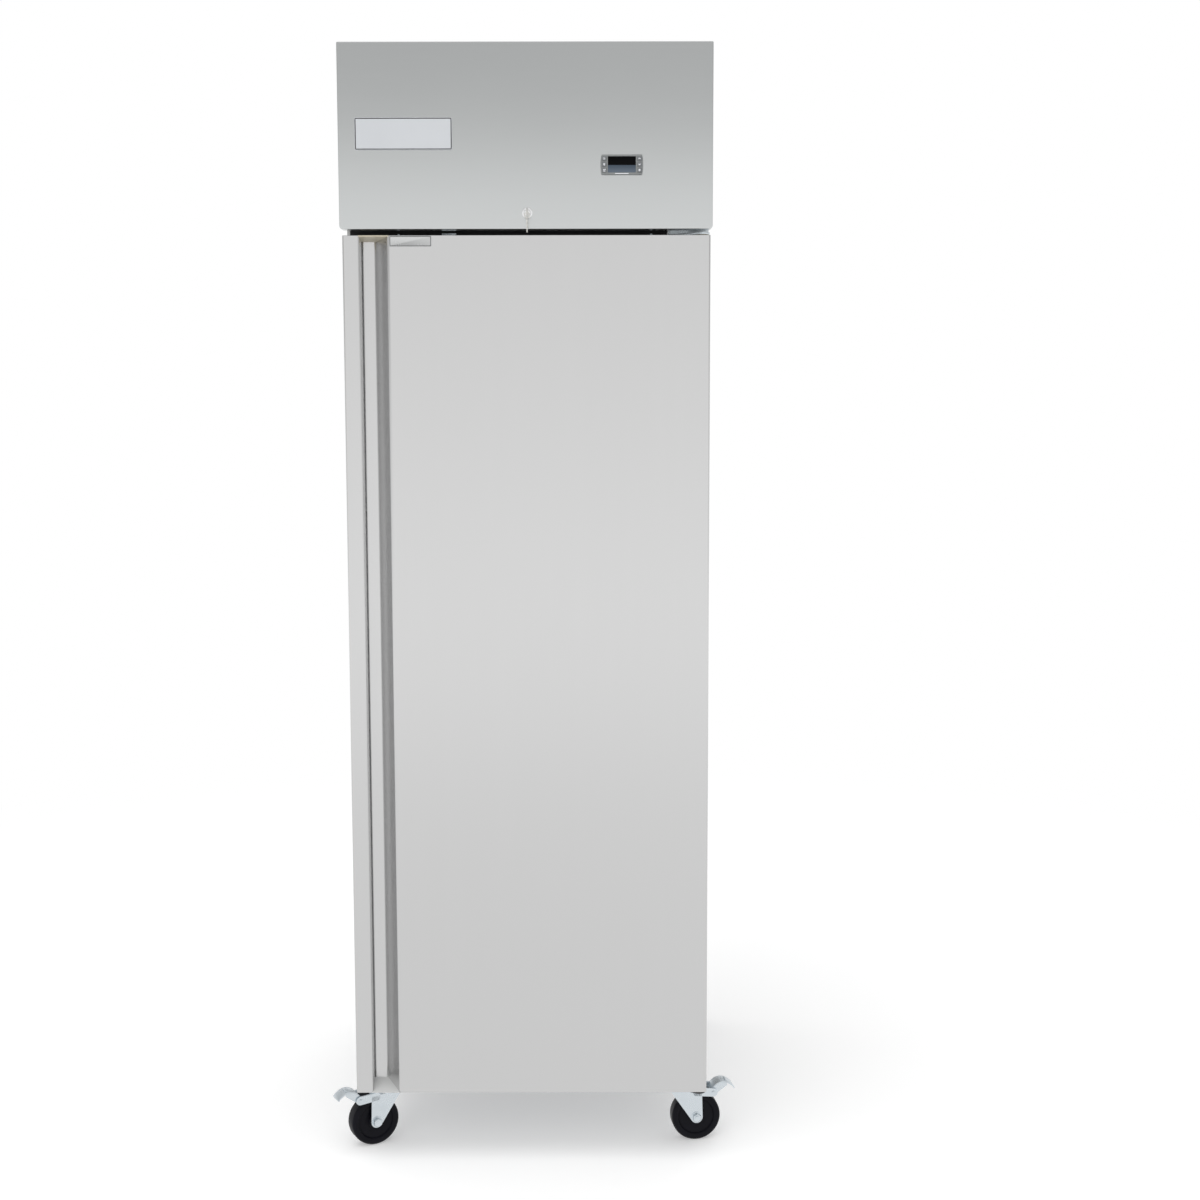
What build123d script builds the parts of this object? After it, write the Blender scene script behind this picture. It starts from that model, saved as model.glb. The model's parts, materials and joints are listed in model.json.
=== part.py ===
from build123d import *

import os
from math import atan2, cos, degrees, radians, sin

# Upright reach-in freezer: one door with a full-length pocket handle, a machine compartment
# behind a flat front cover, and four swivel casters, the front two with brakes.
# +Z is up, the front faces -Y and the door is hinged on the +X side. The origin is on the floor
# under the middle. All sizes are in millimetres.

# ---------------------------------------------------------------- cabinet
body_width = 680.0  # cabinet and door
body_depth = 720.0  # cabinet without the door
cabinet_front = -305.0  # y of the face that the door seals on
box_height = 1663.0  # insulated box
side_rise = 320.0  # side panels above the box
wall = 60.0  # insulated wall, outside face to liner
skin = 1.2  # outer sheet
liner_sheet = 1.0  # inner sheet
seal_flange = 42.0  # steel face round the opening that the gasket closes on
back_flange = 20.0
top_flange = 15.0
front_upstand = 40.0  # roof panel's front edge, above the box
rear_upstand = 44.0
strip_leg = 18.0  # breaker strip's leg into the cavity
strip_sheet = 1.5
cavity_corner = 16.0  # liner's rounded edges, front to back

# ---------------------------------------------------------------- casters
caster_height = 127.0
wheel_diameter = 98.0
wheel_width = 32.0
caster_trail = 36.0
caster_inset_x = 52.0  # kingpin from the cabinet's side
caster_inset_front = 35.0  # kingpin from the cabinet's front
caster_inset_back = 52.0
plate_length, plate_width, plate_sheet = 84.0, 62.0, 3.0
bolt_pitch_x, bolt_pitch_y = 64.0, 44.0
bolt_size = 8.0
bolt_slot = 12.0
fork_sheet = 3.0
axle_diameter = 10.0
kingpin_diameter = 11.0
wheel_round, wheel_dish, wheel_rim, wheel_hub = 5.0, 4.0, 13.0, 30.0
wheel_clearance = 6.0  # tread to the fork's crown
hub_step = 1.2  # hub past the wheel's side
leg_round = 12.0  # fork's end round the axle
crown_radius = 27.0
pedal_boss, pedal_pin, pedal_nose = 17.0, 6.0, 8.0
brake_stroke = 20.0
bolt_head = 5.3
axle_hex, axle_head, axle_nut = 16.0, 6.0, 8.0
running_gap = 0.05  # radial clearance of pins and axles
seat_gap = 0.3  # clearance where one moving piece rests on another
# The way each caster points when the freezer stands still: the trail's direction from +X.
front_left_heading, front_right_heading = 208.0, 8.5
back_left_heading, back_right_heading = 155.0, 40.0

# ---------------------------------------------------------------- door
door_thickness = 62.0
door_drop = 13.0  # insulated box's top to the door's top
door_sheet = 1.0
door_rise = 10.0  # door's lower edge above the cabinet's underside
gasket_gap = 8.0  # door's back to cabinet's front
gasket_inset = 14.0
gasket_width = 22.0
door_corner = 3.0  # folded edges of its front
lip_width = 32.0  # pocket handle, from the door's free edge inwards
pocket_floor = 25.0
pocket_slope = 27.0
pocket_depth = 38.0
pocket_corner = 2.5
top_cap_height = 9.0
bottom_cap_height = 18.0
plug_inset = 85.0  # raised middle of the door's inner panel, from the door's edge
plug_height = 20.0
plug_draft = 8.0
plug_round = 24.0
hinge_pin = 10.0
hinge_inset = 13.0  # pin from the door's hinged edge
hinge_from_back = 32.0  # pin from the door's back face
pin_depth = 22.0
bush_wall = 3.0
bush_flange = 4.0
screw_size = 6.0
top_hinge_gap = 3.0  # door's top to the upper hinge's leaf
hinge_plate = 4.0
hinge_screw_end, hinge_screw_root = 12.0, 14.0  # screws from the leg's two ends
top_leg_rise = 38.0
hinge_gasket_gap = 3.0  # lower leg's top under the gasket
top_hinge_length = 76.0
bottom_hinge_length = 100.0
tag_width, tag_height, tag_sheet = 78.0, 20.0, 1.5

# ---------------------------------------------------------------- front cover of the machine compartment
cover_over = 12.0  # cover above the side panels
cover_gap = 10.0  # door's top to cover's bottom
cover_proud = 12.0  # cover in front of the door
cover_overhang = 3.0  # past the cabinet's side, each side
cover_sheet = 1.2
cover_wrap = 30.0  # side returns past the cabinet's front face
cover_corner = 6.0
cover_top_lap = 7.0  # top return past the cabinet's front
cover_bottom_lap = 32.0
pivot_reach = 8.0
pivot_back = 15.0  # cover's pivots behind the cabinet's front face
pivot_drop = 10.0  # and below the side panels' top
pivot_diameter = 8.0
rivet_head, rivet_spread = 1.5, 1.6  # rivet's height, and its width in pivots
badge_width, badge_height, badge_sheet, badge_corner = 178.0, 58.0, 2.0, 3.0
badge_inset, badge_drop = 117.0, 164.0  # middle of the badge, from the cabinet's side and the cover's top
control_x, control_rise = 176.0, 115.0  # middle of the controller, above the cover's bottom
control_width, control_height, control_proud = 78.0, 36.0, 5.0
control_depth = 52.0
control_margin = 3.5
bezel_bulge = 2.0
window_width, window_height = 51.0, 29.0
button_width, button_height, button_travel = 8.4, 7.6, 0.8
button_pitch = 10.4
button_body, button_proud, button_gap, button_corner = 4.0, 0.9, 0.15, 1.2
window_sheet = 2.0
lock_rim, key_gap, key_shoulder = 2.5, 0.1, 1.0
lock_x, lock_rise = 2.5, 29.0
lock_diameter, barrel_diameter, plug_diameter = 19.5, 16.0, 12.0
barrel_length = 20.0
barrel_nut_rim, barrel_nut = 6.0, 4.0
cam_length, cam_width, cam_sheet = 50.0, 14.0, 2.5
cam_gap = 1.5
cover_slot, door_slot = 0.86, 0.66  # share of the cam that crosses the cover and the door as it turns
key_sheet = 2.0
bow_radius = 7.0
bow_hole = 2.2
hole_offset = 3.6  # key's hole from the middle of its bow
blade_width = 6.0
key_blade = 14.5
ring_radius, ring_wire, ring_slack = 4.8, 0.8, 0.4  # the spare key hangs clear of the door

# ---------------------------------------------------------------- inside the cabinet
pilaster_width, pilaster_depth = 20.0, 4.0
pilaster_front_inset = 105.0  # cabinet's front to the first strip's middle
pilaster_back_inset = 115.0  # cavity's back to the second strip's middle
pilaster_foot, pilaster_head = 53.0, 190.0  # cavity's floor and ceiling to the strips' ends
slot_pitch = 50.0
slot_width, slot_height = 5.0, 12.0
shelf_slots = (5, 12, 19)  # which slot of the pilasters holds each shelf
shelf_wire = 6.0
shelf_side_gap = 7.0  # strips to the shelf's sides
shelf_reach = 60.0  # shelf past the strips' middles, front and back
shelf_bars = 21
clip_reach = 16.0
housing_height = 150.0
housing_side_gap = 29.0  # liner to the housing's sides
housing_inset = 185.0  # cabinet's front to the housing's front
coil_depth, coil_height = 180.0, 96.0
coil_side_gap = 35.0  # housing's sides to the fins, for the bends and the pipes
coil_back_gap = 86.0  # cavity's back to the coil
pan_reach = 20.0  # drip pan past the coil's back
pan_lip = 15.0
coil_foot, coil_rows = 8.0, 3
bend_radius, coil_end_sheet = 16.0, 3.0
cold_fan_diameter = 130.0
housing_sheet = 2.0
guard_rings, guard_spokes, guard_wire = 5, 6, 3.0
fin_pitch, fin_sheet, fin_bridge = 8.0, 1.2, 3.0

# ---------------------------------------------------------------- machine compartment
base_side_gap, base_front_gap, base_back_gap = 50.0, 65.0, 35.0  # cabinet's outside to the base
base_height, base_sheet = 20.0, 1.5
condenser_thick, condenser_height = 56.0, 260.0
condenser_side_gap, condenser_front_gap = 28.0, 80.0  # base's edges to the condenser
condenser_box_gap = 49.0  # condenser's fins to the electrical box, for the bends
shroud_depth = 46.0
hot_fan_diameter = 232.0
fan_hole_gap = 4.0
bracket_sheet, bracket_width, cold_reach, hot_reach = 2.0, 24.0, 34.0, 18.0
motor_diameter, motor_length, motor_shaft = 60.0, 40.0, 8.0
fan_hub, fan_blades, fan_depth, blade_sheet, blade_pitch = 36.0, 5, 22.0, 1.6, 28.0
compressor_inset_x, compressor_inset_y = 160.0, 190.0  # its middle from the base's right and back edges
compressor_radius, compressor_height = 82.0, 208.0
compressor_feet, foot_hole, dome_rise = 150.0, 16.0, 30.0
compressor_lift, foot_margin, foot_rim, foot_nut = 8.0, 18.0, 5.0, 4.0
seam_height, seam_proud = 8.0, 2.5
terminal_width, terminal_proud, terminal_height, terminal_rise = 68.0, 26.0, 60.0, 70.0
condenser_rows = 5
gland_neck, gland_flange, gland_nose, gland_wall = 16.0, 5.0, 9.0, 5.0
gland_nut = 6.0
line_hole_left, line_hole_back, line_hole = 100.0, 62.0, 50.0  # from the compressor and the base's back
slot_rows, slot_step, slot_opening, slot_run, slot_start = 8, 22.0, 7.0, 220.0, 50.0  # air slots in the sides
suction_pipe, hot_pipe, liquid_pipe = 12.0, 8.0, 5.0
drier_left, drier_length, drier_diameter = 90.0, 80.0, 20.0  # its middle from the hole in the base
stub_length = 8.0
pipe_rise = 28.0  # discharge pipe above its stub
port_reach, port_rise, port_back = 18.0, 16.0, 40.0  # pipes at the evaporator's end plate
suction_bend, hot_bend, liquid_bend = 14.0, 12.0, 10.0
box_size_y, box_size_z = 115.0, 120.0
box_drier_gap = 44.0  # electrical box to the filter drier
box_margin = 6.0  # base's edges to the electrical box
lid_lap, lid_depth = 2.0, 12.0
gland_inset, gland_hole = 90.0, 20.0

# ---------------------------------------------------------------- places worked out from the sizes
half = body_width / 2
cabinet_back = cabinet_front + body_depth
box_bottom = caster_height
box_top = box_bottom + box_height
side_top = box_top + side_rise
inner_x = half - wall
cavity_bottom = box_bottom + wall
cavity_top = box_top - wall
cavity_back = cabinet_back - wall
front_inside = cabinet_front + skin
back_inside = cabinet_back - skin
flange_x = half - seal_flange
door_back = cabinet_front - gasket_gap
door_front = door_back - door_thickness
door_bottom = box_bottom + door_rise
door_top = box_top - door_drop
door_height = door_top - door_bottom
cover_bottom = door_top + cover_gap
cover_top = side_top + cover_over
cover_front = door_front - cover_proud
cover_back = cabinet_front + cover_wrap
cover_half = half + cover_overhang
hinge_x = half - hinge_inset
hinge_y = door_back - hinge_from_back
pivot_y = cabinet_front + pivot_back
pivot_z = side_top - pivot_drop
lock_z = cover_bottom + lock_rise
cam_y = cover_front + barrel_length + cover_sheet + seat_gap
control_z = cover_bottom + control_rise
pilaster_front = cabinet_front + pilaster_front_inset
pilaster_back = cavity_back - pilaster_back_inset
pilaster_bottom = cavity_bottom + pilaster_foot
pilaster_top = cavity_top - pilaster_head
housing_half = inner_x - liner_sheet - housing_side_gap
housing_front = cabinet_front + housing_inset
housing_bottom = cavity_top - liner_sheet - housing_height
cold_fan_z = housing_bottom + housing_height / 2
base_half = half - base_side_gap
base_front = cabinet_front + base_front_gap
base_back = cabinet_back - base_back_gap
base_top = box_top + base_height
box_y = base_back - box_size_y - box_margin
condenser_x = -base_half + condenser_side_gap + condenser_thick / 2
condenser_length = box_y - condenser_box_gap - base_front - condenser_front_gap
condenser_y = base_front + condenser_front_gap + condenser_length / 2
compressor_x = base_half - compressor_inset_x
compressor_y = base_back - compressor_inset_y
line_hole_x = compressor_x - line_hole_left
line_hole_y = base_back - line_hole_back
drier_start = line_hole_x - drier_left - drier_length / 2
box_x = -base_half + box_margin
box_size_x = drier_start - box_drier_gap - box_x
badge_x = -half + badge_inset
gland_x = -half + gland_inset
condenser_top = base_top + condenser_height
hot_fan_z = base_top + condenser_height / 2
compressor_base = base_top + compressor_lift
suction_y = compressor_y + compressor_radius + stub_length
suction_z = compressor_base + compressor_height * 0.4
discharge_x = compressor_x - compressor_radius / 2
discharge_z = compressor_base + compressor_height + stub_length


def span(a, b):
    return min(a, b), max(a, b)


def block(x, y, z, mode=Mode.ADD):
    # A box between two corners, given as (low, high) along each axis.
    with Locations(((x[0] + x[1]) / 2, (y[0] + y[1]) / 2, (z[0] + z[1]) / 2)):
        Box(x[1] - x[0], y[1] - y[0], z[1] - z[0], mode=mode)


def rod(start, direction, radius, length, mode=Mode.ADD):
    # A round bar that starts at a point and runs along a direction.
    with Locations(Plane(origin=start, z_dir=direction).location):
        Cylinder(radius, length, align=(Align.CENTER, Align.CENTER, Align.MIN), mode=mode)


def hex_head(start, direction, across, height):
    # A hexagon head or nut that starts at a point and runs along a direction.
    with BuildSketch(Plane(origin=start, z_dir=direction)) as outline:
        RegularPolygon(across / 2, 6, major_radius=False)
    extrude(outline.sketch, amount=height)


def save(part, label):
    part.label = label
    export_step(part, f"parts/{label}.step")


os.makedirs("parts", exist_ok=True)

# ================================================================ cabinet

def side_panel(side):
    # One folded sheet: the side, a sealing flange in front, and narrow flanges at the back and top.
    with BuildPart() as panel:
        block(span(side * half, side * (half - skin)), (cabinet_front, cabinet_back), (box_bottom, side_top))
        block(span(side * half, side * flange_x), (cabinet_front, front_inside), (box_bottom, side_top))
        block(
            span(side * half, side * (half - back_flange)),
            (back_inside, cabinet_back),
            (box_bottom, side_top),
        )
        block(
            span(side * half, side * (half - top_flange)),
            (cabinet_front, cabinet_back),
            (side_top - skin, side_top),
        )
        # air slots beside the machine compartment
        for row in range(slot_rows):
            z = base_top + slot_start + slot_step * row
            block(
                span(side * (half + 1), side * (half - skin - 1)),
                (condenser_y - slot_run / 2, condenser_y + slot_run / 2),
                (z, z + slot_opening),
                Mode.SUBTRACT,
            )
        rod(
            (side * (half + 1), pivot_y, pivot_z),
            (-side, 0, 0),
            pivot_diameter / 2,
            skin + 2,
            Mode.SUBTRACT,
        )
    return panel.part


save(side_panel(-1), "side_panel_left")
save(side_panel(1), "side_panel_right")

with BuildPart() as back_panel:
    block(
        (-half + back_flange, half - back_flange),
        (back_inside, cabinet_back),
        (box_bottom, box_top - skin),
    )
save(back_panel.part, "back_panel")

with BuildPart() as bottom_panel:
    block((-half + skin, half - skin), (front_inside, back_inside), (box_bottom, box_bottom + skin))
    block((-flange_x, flange_x), (cabinet_front, front_inside), (box_bottom, box_bottom + seal_flange))
save(bottom_panel.part, "bottom_panel")

with BuildPart() as roof_panel:
    block((-half + skin, half - skin), (front_inside, back_inside), (box_top - skin, box_top))
    block(
        (-flange_x, flange_x),
        (cabinet_front, front_inside),
        (box_top - seal_flange, box_top + front_upstand),
    )
    block(
        (-half + back_flange, half - back_flange),
        (back_inside, cabinet_back),
        (box_top - skin, box_top + rear_upstand),
    )
    rod((line_hole_x, line_hole_y, box_top + 1), (0, 0, -1), line_hole / 2, skin + 2, Mode.SUBTRACT)
    rod(
        (gland_x, cabinet_back + 1, box_top + rear_upstand / 2),
        (0, -1, 0),
        gland_hole / 2,
        skin + 4,
        Mode.SUBTRACT,
    )
save(roof_panel.part, "roof_panel")

def cavity(inset, start, end, mode=Mode.ADD):
    # The inside of the cabinet as a solid with rounded edges, drawn in by an inset, between two y.
    plane = Plane(origin=(0, start, (cavity_bottom + cavity_top) / 2), x_dir=(1, 0, 0), z_dir=(0, 1, 0))
    with BuildSketch(plane) as outline:
        RectangleRounded(2 * (inner_x - inset), cavity_top - cavity_bottom - 2 * inset, cavity_corner - inset)
    extrude(outline.sketch, amount=end - start, mode=mode)


# Foam in five slabs: the back, the floor, the ceiling and the two sides, which carry the round corners.
foam_half = half - skin
foam_bottom, foam_top = box_bottom + skin, box_top - skin
full_width = (-foam_half, foam_half)
cavity_run = (front_inside, cavity_back)
foam_slabs = (
    (full_width, (cavity_back, back_inside), (foam_bottom, foam_top)),
    (full_width, cavity_run, (foam_bottom, cavity_bottom)),
    (full_width, cavity_run, (cavity_top, foam_top)),
    ((-foam_half, cavity_corner - inner_x), cavity_run, (cavity_bottom, cavity_top)),
    ((inner_x - cavity_corner, foam_half), cavity_run, (cavity_bottom, cavity_top)),
)


def foam_slab(x, y, z):
    with BuildPart() as slab:
        block(x, y, z)
        cavity(0, front_inside, cavity_back, Mode.SUBTRACT)
        if z[0] == cavity_top:
            rod((line_hole_x, line_hole_y, box_top), (0, 0, -1), line_hole / 2, wall + 1, Mode.SUBTRACT)
    return slab.part


save(Compound(children=[foam_slab(x, y, z) for x, y, z in foam_slabs]), "foam_insulation")

with BuildPart() as inner_liner:
    cavity(0, front_inside, cavity_back)
    cavity(liner_sheet, front_inside - 1, cavity_back - liner_sheet, Mode.SUBTRACT)
    rod((line_hole_x, line_hole_y, cavity_top + 1), (0, 0, -1), line_hole / 2, 3, Mode.SUBTRACT)
save(inner_liner.part, "inner_liner")

with BuildPart() as breaker_strip:
    # plastic frame that closes the gap between the outer skin and the liner
    block(
        (-flange_x, flange_x),
        (cabinet_front, front_inside),
        (box_bottom + seal_flange, box_top - seal_flange),
    )
    cavity(liner_sheet, cabinet_front, front_inside + strip_leg)
    cavity(liner_sheet + strip_sheet, cabinet_front - 1, front_inside + strip_leg + 1, Mode.SUBTRACT)
save(breaker_strip.part, "breaker_strip")

# ================================================================ shelves
clip_z = [pilaster_bottom + slot_pitch * (slot + 0.5) for slot in shelf_slots]
shelf_z = [z + slot_height / 2 + seat_gap for z in clip_z]
clip_face = inner_x - liner_sheet - pilaster_depth
pilaster_x = clip_face + pilaster_depth / 2
shelf_width = 2 * (clip_face - shelf_side_gap)
shelf_depth = pilaster_back - pilaster_front + 2 * shelf_reach
slots_high = int((pilaster_top - pilaster_bottom) / slot_pitch)
shelf_middle_y = (pilaster_front + pilaster_back) / 2


def pilaster(side, y):
    middle = (pilaster_bottom + pilaster_top) / 2
    with Locations((side * pilaster_x, y, middle)):
        Box(pilaster_depth, pilaster_width, pilaster_top - pilaster_bottom)
        with Locations(*[(0, 0, pilaster_bottom + slot_pitch * (i + 0.5) - middle) for i in range(slots_high)]):
            Box(pilaster_depth + 1, slot_width, slot_height, mode=Mode.SUBTRACT)


with BuildPart() as shelf_pilasters:
    for side in (-1, 1):
        for y in (pilaster_front, pilaster_back):
            pilaster(side, y)
save(shelf_pilasters.part, "shelf_pilasters")

with BuildPart() as shelf_clips:
    for side in (-1, 1):
        for y in (pilaster_front, pilaster_back):
            for z in clip_z:
                # hooked tongue in the slot, upright against the strip, and the ledge under the shelf
                block(
                    span(side * (clip_face - 2), side * (clip_face + pilaster_depth / 2)),
                    (y - slot_width / 2 + seat_gap, y + slot_width / 2 - seat_gap),
                    (z - slot_height / 2, z + slot_height / 2),
                )
                block(
                    span(side * (clip_face - 2), side * clip_face),
                    (y - pilaster_width / 2 + 2, y + pilaster_width / 2 - 2),
                    (z - 2 * slot_height, z + slot_height / 2),
                )
                block(
                    span(side * (clip_face - clip_reach), side * (clip_face - 2)),
                    (y - pilaster_width / 2 + 2, y + pilaster_width / 2 - 2),
                    (z + slot_height / 2 - 3, z + slot_height / 2),
                )
save(shelf_clips.part, "shelf_clips")


def wire_shelf(z):
    # A rim and bars of one thickness, with a cross bar in the middle.
    bar_step = (shelf_width - shelf_wire) / (shelf_bars - 1)
    with BuildPart() as shelf:
        with BuildSketch(Plane.XY.offset(z)):
            with Locations((0, shelf_middle_y)):
                Rectangle(shelf_width, shelf_depth)
                with GridLocations(bar_step, (shelf_depth - shelf_wire) / 2, shelf_bars - 1, 2):
                    Rectangle(
                        bar_step - shelf_wire,
                        (shelf_depth - 3 * shelf_wire) / 2,
                        mode=Mode.SUBTRACT,
                    )
        extrude(amount=shelf_wire)
    return shelf.part


for name, z in zip(("shelf_lower", "shelf_middle", "shelf_top"), shelf_z):
    save(wire_shelf(z), name)

# ================================================================ evaporator, in the top of the cavity
ceiling = cavity_top - liner_sheet
cold_hole = cold_fan_diameter / 2 + fan_hole_gap
coil_front = cavity_back - liner_sheet - coil_back_gap - coil_depth
coil_bottom = housing_bottom + housing_sheet
housing_back = coil_front + coil_depth + pan_reach
coil_width = 2 * (housing_half - coil_side_gap)


def fan_bracket(place, hole, reach):
    # Two legs and a strap behind a fan's opening. The plane lies on the plate and its z runs to the
    # motor, which sits on the strap's far face.
    with Locations(place.location):
        with Locations(*[(side * (hole + bracket_sheet), 0, reach / 2) for side in (-1, 1)]):
            Box(bracket_sheet, bracket_width, reach)
        with Locations((0, 0, reach - bracket_sheet / 2)):
            Box(2 * hole + 3 * bracket_sheet, bracket_width, bracket_sheet)
            Cylinder(motor_shaft / 2 + fan_hole_gap, bracket_sheet + 1, mode=Mode.SUBTRACT)


with BuildPart() as evaporator_housing:
    # hanging cover, open at the back, with a drip pan for its floor
    block(
        (-housing_half, housing_half),
        (housing_front, housing_back),
        (housing_bottom, ceiling),
    )
    block(
        (-housing_half + housing_sheet, housing_half - housing_sheet),
        (housing_front + housing_sheet, housing_back + 1),
        (housing_bottom + housing_sheet, ceiling + 1),
        Mode.SUBTRACT,
    )
    rod(
        (0, housing_front - 1, cold_fan_z),
        (0, 1, 0),
        cold_hole,
        housing_sheet + 2,
        Mode.SUBTRACT,
    )
    # low lip at the pan's back edge
    block(
        (-housing_half, housing_half),
        (housing_back - housing_sheet, housing_back),
        (housing_bottom, housing_bottom + pan_lip),
    )
    fan_bracket(Plane(origin=(0, housing_front, cold_fan_z), x_dir=(1, 0, 0), z_dir=(0, 1, 0)), cold_hole, cold_reach)
    # wire guard in front of the fan
    with BuildSketch(Plane(origin=(0, housing_front, cold_fan_z), x_dir=(1, 0, 0), z_dir=(0, -1, 0))) as guard:
        for ring in range(guard_rings):
            radius = cold_hole + guard_wire - (cold_hole - guard_wire) * ring / guard_rings
            Circle(radius)
            Circle(radius - guard_wire, mode=Mode.SUBTRACT)
        with PolarLocations(cold_hole / 2 + guard_wire / 2, guard_spokes):
            Rectangle(cold_hole + guard_wire, guard_wire)
    extrude(guard.sketch, amount=guard_wire)
save(evaporator_housing.part, "evaporator_housing")


def finned_block(plane, run, height, thick, rows):
    # Fins as the walls of one holed face, bridged by the rows of tube that run through them.
    fins = int(run / fin_pitch)
    with BuildPart() as block_of_fins:
        with BuildSketch(plane.offset(-thick / 2)):
            Rectangle(fins * fin_pitch + fin_sheet, height)
            with GridLocations(fin_pitch, height / rows, fins, rows):
                Rectangle(fin_pitch - fin_sheet, height / rows - fin_bridge, mode=Mode.SUBTRACT)
        extrude(amount=thick)
    return block_of_fins.part


def coil_end(plane, width, foot, height, rows, pipe):
    # End plate with its return bends. On the plane, x is across the coil, y is up and z outwards.
    with BuildPart() as end:
        with BuildSketch(plane):
            with Locations((0, -foot / 2)):
                Rectangle(width, height + foot)
        extrude(amount=coil_end_sheet)
        for row in range(rows):
            rise = height / rows * (row + 0.5) - height / 2
            bend_plane = plane.offset(coil_end_sheet)
            with BuildSketch(Plane(bend_plane.from_local_coords((0, rise, 0)), bend_plane.x_dir, bend_plane.z_dir)):
                with Locations((bend_radius, 0)):
                    Circle(pipe / 2)
            start = bend_plane.from_local_coords(Vector(0, rise, 0))
            revolve(axis=Axis(start, plane.y_dir), revolution_arc=-180)
    return end.part


coil_y = coil_front + coil_depth / 2
coil_z = coil_bottom + coil_foot + coil_height / 2
coil_half = (int(coil_width / fin_pitch) * fin_pitch + fin_sheet) / 2
cold_fins = finned_block(
    Plane(origin=(0, coil_y, coil_z), x_dir=(1, 0, 0), z_dir=(0, -1, 0)),
    coil_width,
    coil_height,
    coil_depth,
    coil_rows,
)
cold_ends = [
    coil_end(
        Plane(origin=(side * coil_half, coil_y, coil_z), x_dir=(0, side, 0), z_dir=(side, 0, 0)),
        coil_depth,
        coil_foot,
        coil_height,
        coil_rows,
        suction_pipe - 2,
    )
    for side in (-1, 1)
]
save(Compound(children=[cold_fins, *cold_ends]), "evaporator_coil")


# ================================================================ fans
def fan_blade(diameter):
    # Hub with pitched blades round a bore. Its axis is Z and the shaft enters from below.
    with BuildPart() as blade:
        with PolarLocations(0, fan_blades):
            with Locations(Location((diameter / 4, 0, fan_depth / 2), (blade_pitch, 0, 0))):
                Box(diameter / 2, diameter * 0.34, blade_sheet)
        Cylinder(
            diameter / 2,
            fan_depth,
            align=(Align.CENTER, Align.CENTER, Align.MIN),
            mode=Mode.INTERSECT,
        )
        Cylinder(fan_hub / 2, fan_depth, align=(Align.CENTER, Align.CENTER, Align.MIN))
        rod((0, 0, -1), (0, 0, 1), motor_shaft / 2 + running_gap, fan_depth - 3, Mode.SUBTRACT)
    return blade.part


def fan_motor():
    # Round motor under its shaft. The top face, at z 0, sits on the bracket's strap.
    with BuildPart() as motor:
        rod((0, 0, 0), (0, 0, -1), motor_diameter / 2, motor_length)
        fillet(motor.edges().group_by(Axis.Z)[0], motor_diameter / 10)
        rod((0, 0, 0), (0, 0, 1), motor_shaft / 2, bracket_sheet + seat_gap + fan_depth - 5)
    return motor.part


cold_strap = Plane(
    origin=(0, housing_front + cold_reach, cold_fan_z),
    x_dir=(1, 0, 0),
    z_dir=(0, -1, 0),
)
shroud_front = condenser_x + condenser_thick / 2 + shroud_depth
hot_strap = Plane(
    origin=(shroud_front - base_sheet + hot_reach, condenser_y, hot_fan_z),
    x_dir=(0, 1, 0),
    z_dir=(-1, 0, 0),
)
blade_rise = bracket_sheet + seat_gap
motors = [place.location * fan_motor() for place in (cold_strap, hot_strap)]
save(Part() + motors, "fan_motors")
save(cold_strap.offset(blade_rise).location * fan_blade(cold_fan_diameter), "evaporator_fan_blade")
save(hot_strap.offset(blade_rise).location * fan_blade(hot_fan_diameter), "condenser_fan_blade")

# ================================================================ machine compartment
with BuildPart() as unit_base:
    # folded tray, flanges down, with a hole over the one in the roof
    block(
        (-base_half, base_half),
        (base_front, base_back),
        (box_top, base_top),
    )
    block(
        (-base_half + base_sheet, base_half - base_sheet),
        (base_front + base_sheet, base_back - base_sheet),
        (box_top - 1, base_top - base_sheet),
        Mode.SUBTRACT,
    )
    rod((line_hole_x, line_hole_y, base_top + 1), (0, 0, -1), line_hole / 2, base_sheet + 2, Mode.SUBTRACT)
save(unit_base.part, "unit_base")

condenser_half = (int(condenser_length / fin_pitch) * fin_pitch + fin_sheet) / 2
condenser_middle = Vector(condenser_x, condenser_y, base_top + condenser_height / 2)
hot_fins = finned_block(
    Plane(origin=condenser_middle, x_dir=(0, 1, 0), z_dir=(1, 0, 0)),
    condenser_length,
    condenser_height,
    condenser_thick,
    condenser_rows,
)
hot_ends = [
    coil_end(
        Plane(
            origin=condenser_middle + Vector(0, side * condenser_half, 0),
            x_dir=(-side, 0, 0),
            z_dir=(0, side, 0),
        ),
        condenser_thick,
        0,
        condenser_height,
        condenser_rows,
        hot_pipe,
    )
    for side in (-1, 1)
]
save(Compound(children=[hot_fins, *hot_ends]), "condenser_coil")

hot_hole = hot_fan_diameter / 2 + fan_hole_gap
with BuildPart() as fan_shroud:
    # box behind the condenser with a round opening for the fan
    shroud_x = (condenser_x + condenser_thick / 2, shroud_front)
    shroud_half = condenser_length / 2
    block(shroud_x, (condenser_y - shroud_half, condenser_y + shroud_half), (base_top, condenser_top))
    block(
        (shroud_x[0] - 1, shroud_x[1] - base_sheet),
        (condenser_y - shroud_half + base_sheet, condenser_y + shroud_half - base_sheet),
        (base_top + base_sheet, condenser_top - base_sheet),
        Mode.SUBTRACT,
    )
    rod(
        (shroud_front + 1, condenser_y, hot_fan_z),
        (-1, 0, 0),
        hot_hole,
        base_sheet + 2,
        Mode.SUBTRACT,
    )
    fan_bracket(
        Plane(
            origin=(shroud_front - base_sheet, condenser_y, hot_fan_z),
            x_dir=(0, 1, 0),
            z_dir=(1, 0, 0),
        ),
        hot_hole,
        hot_reach,
    )
save(fan_shroud.part, "fan_shroud")

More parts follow.
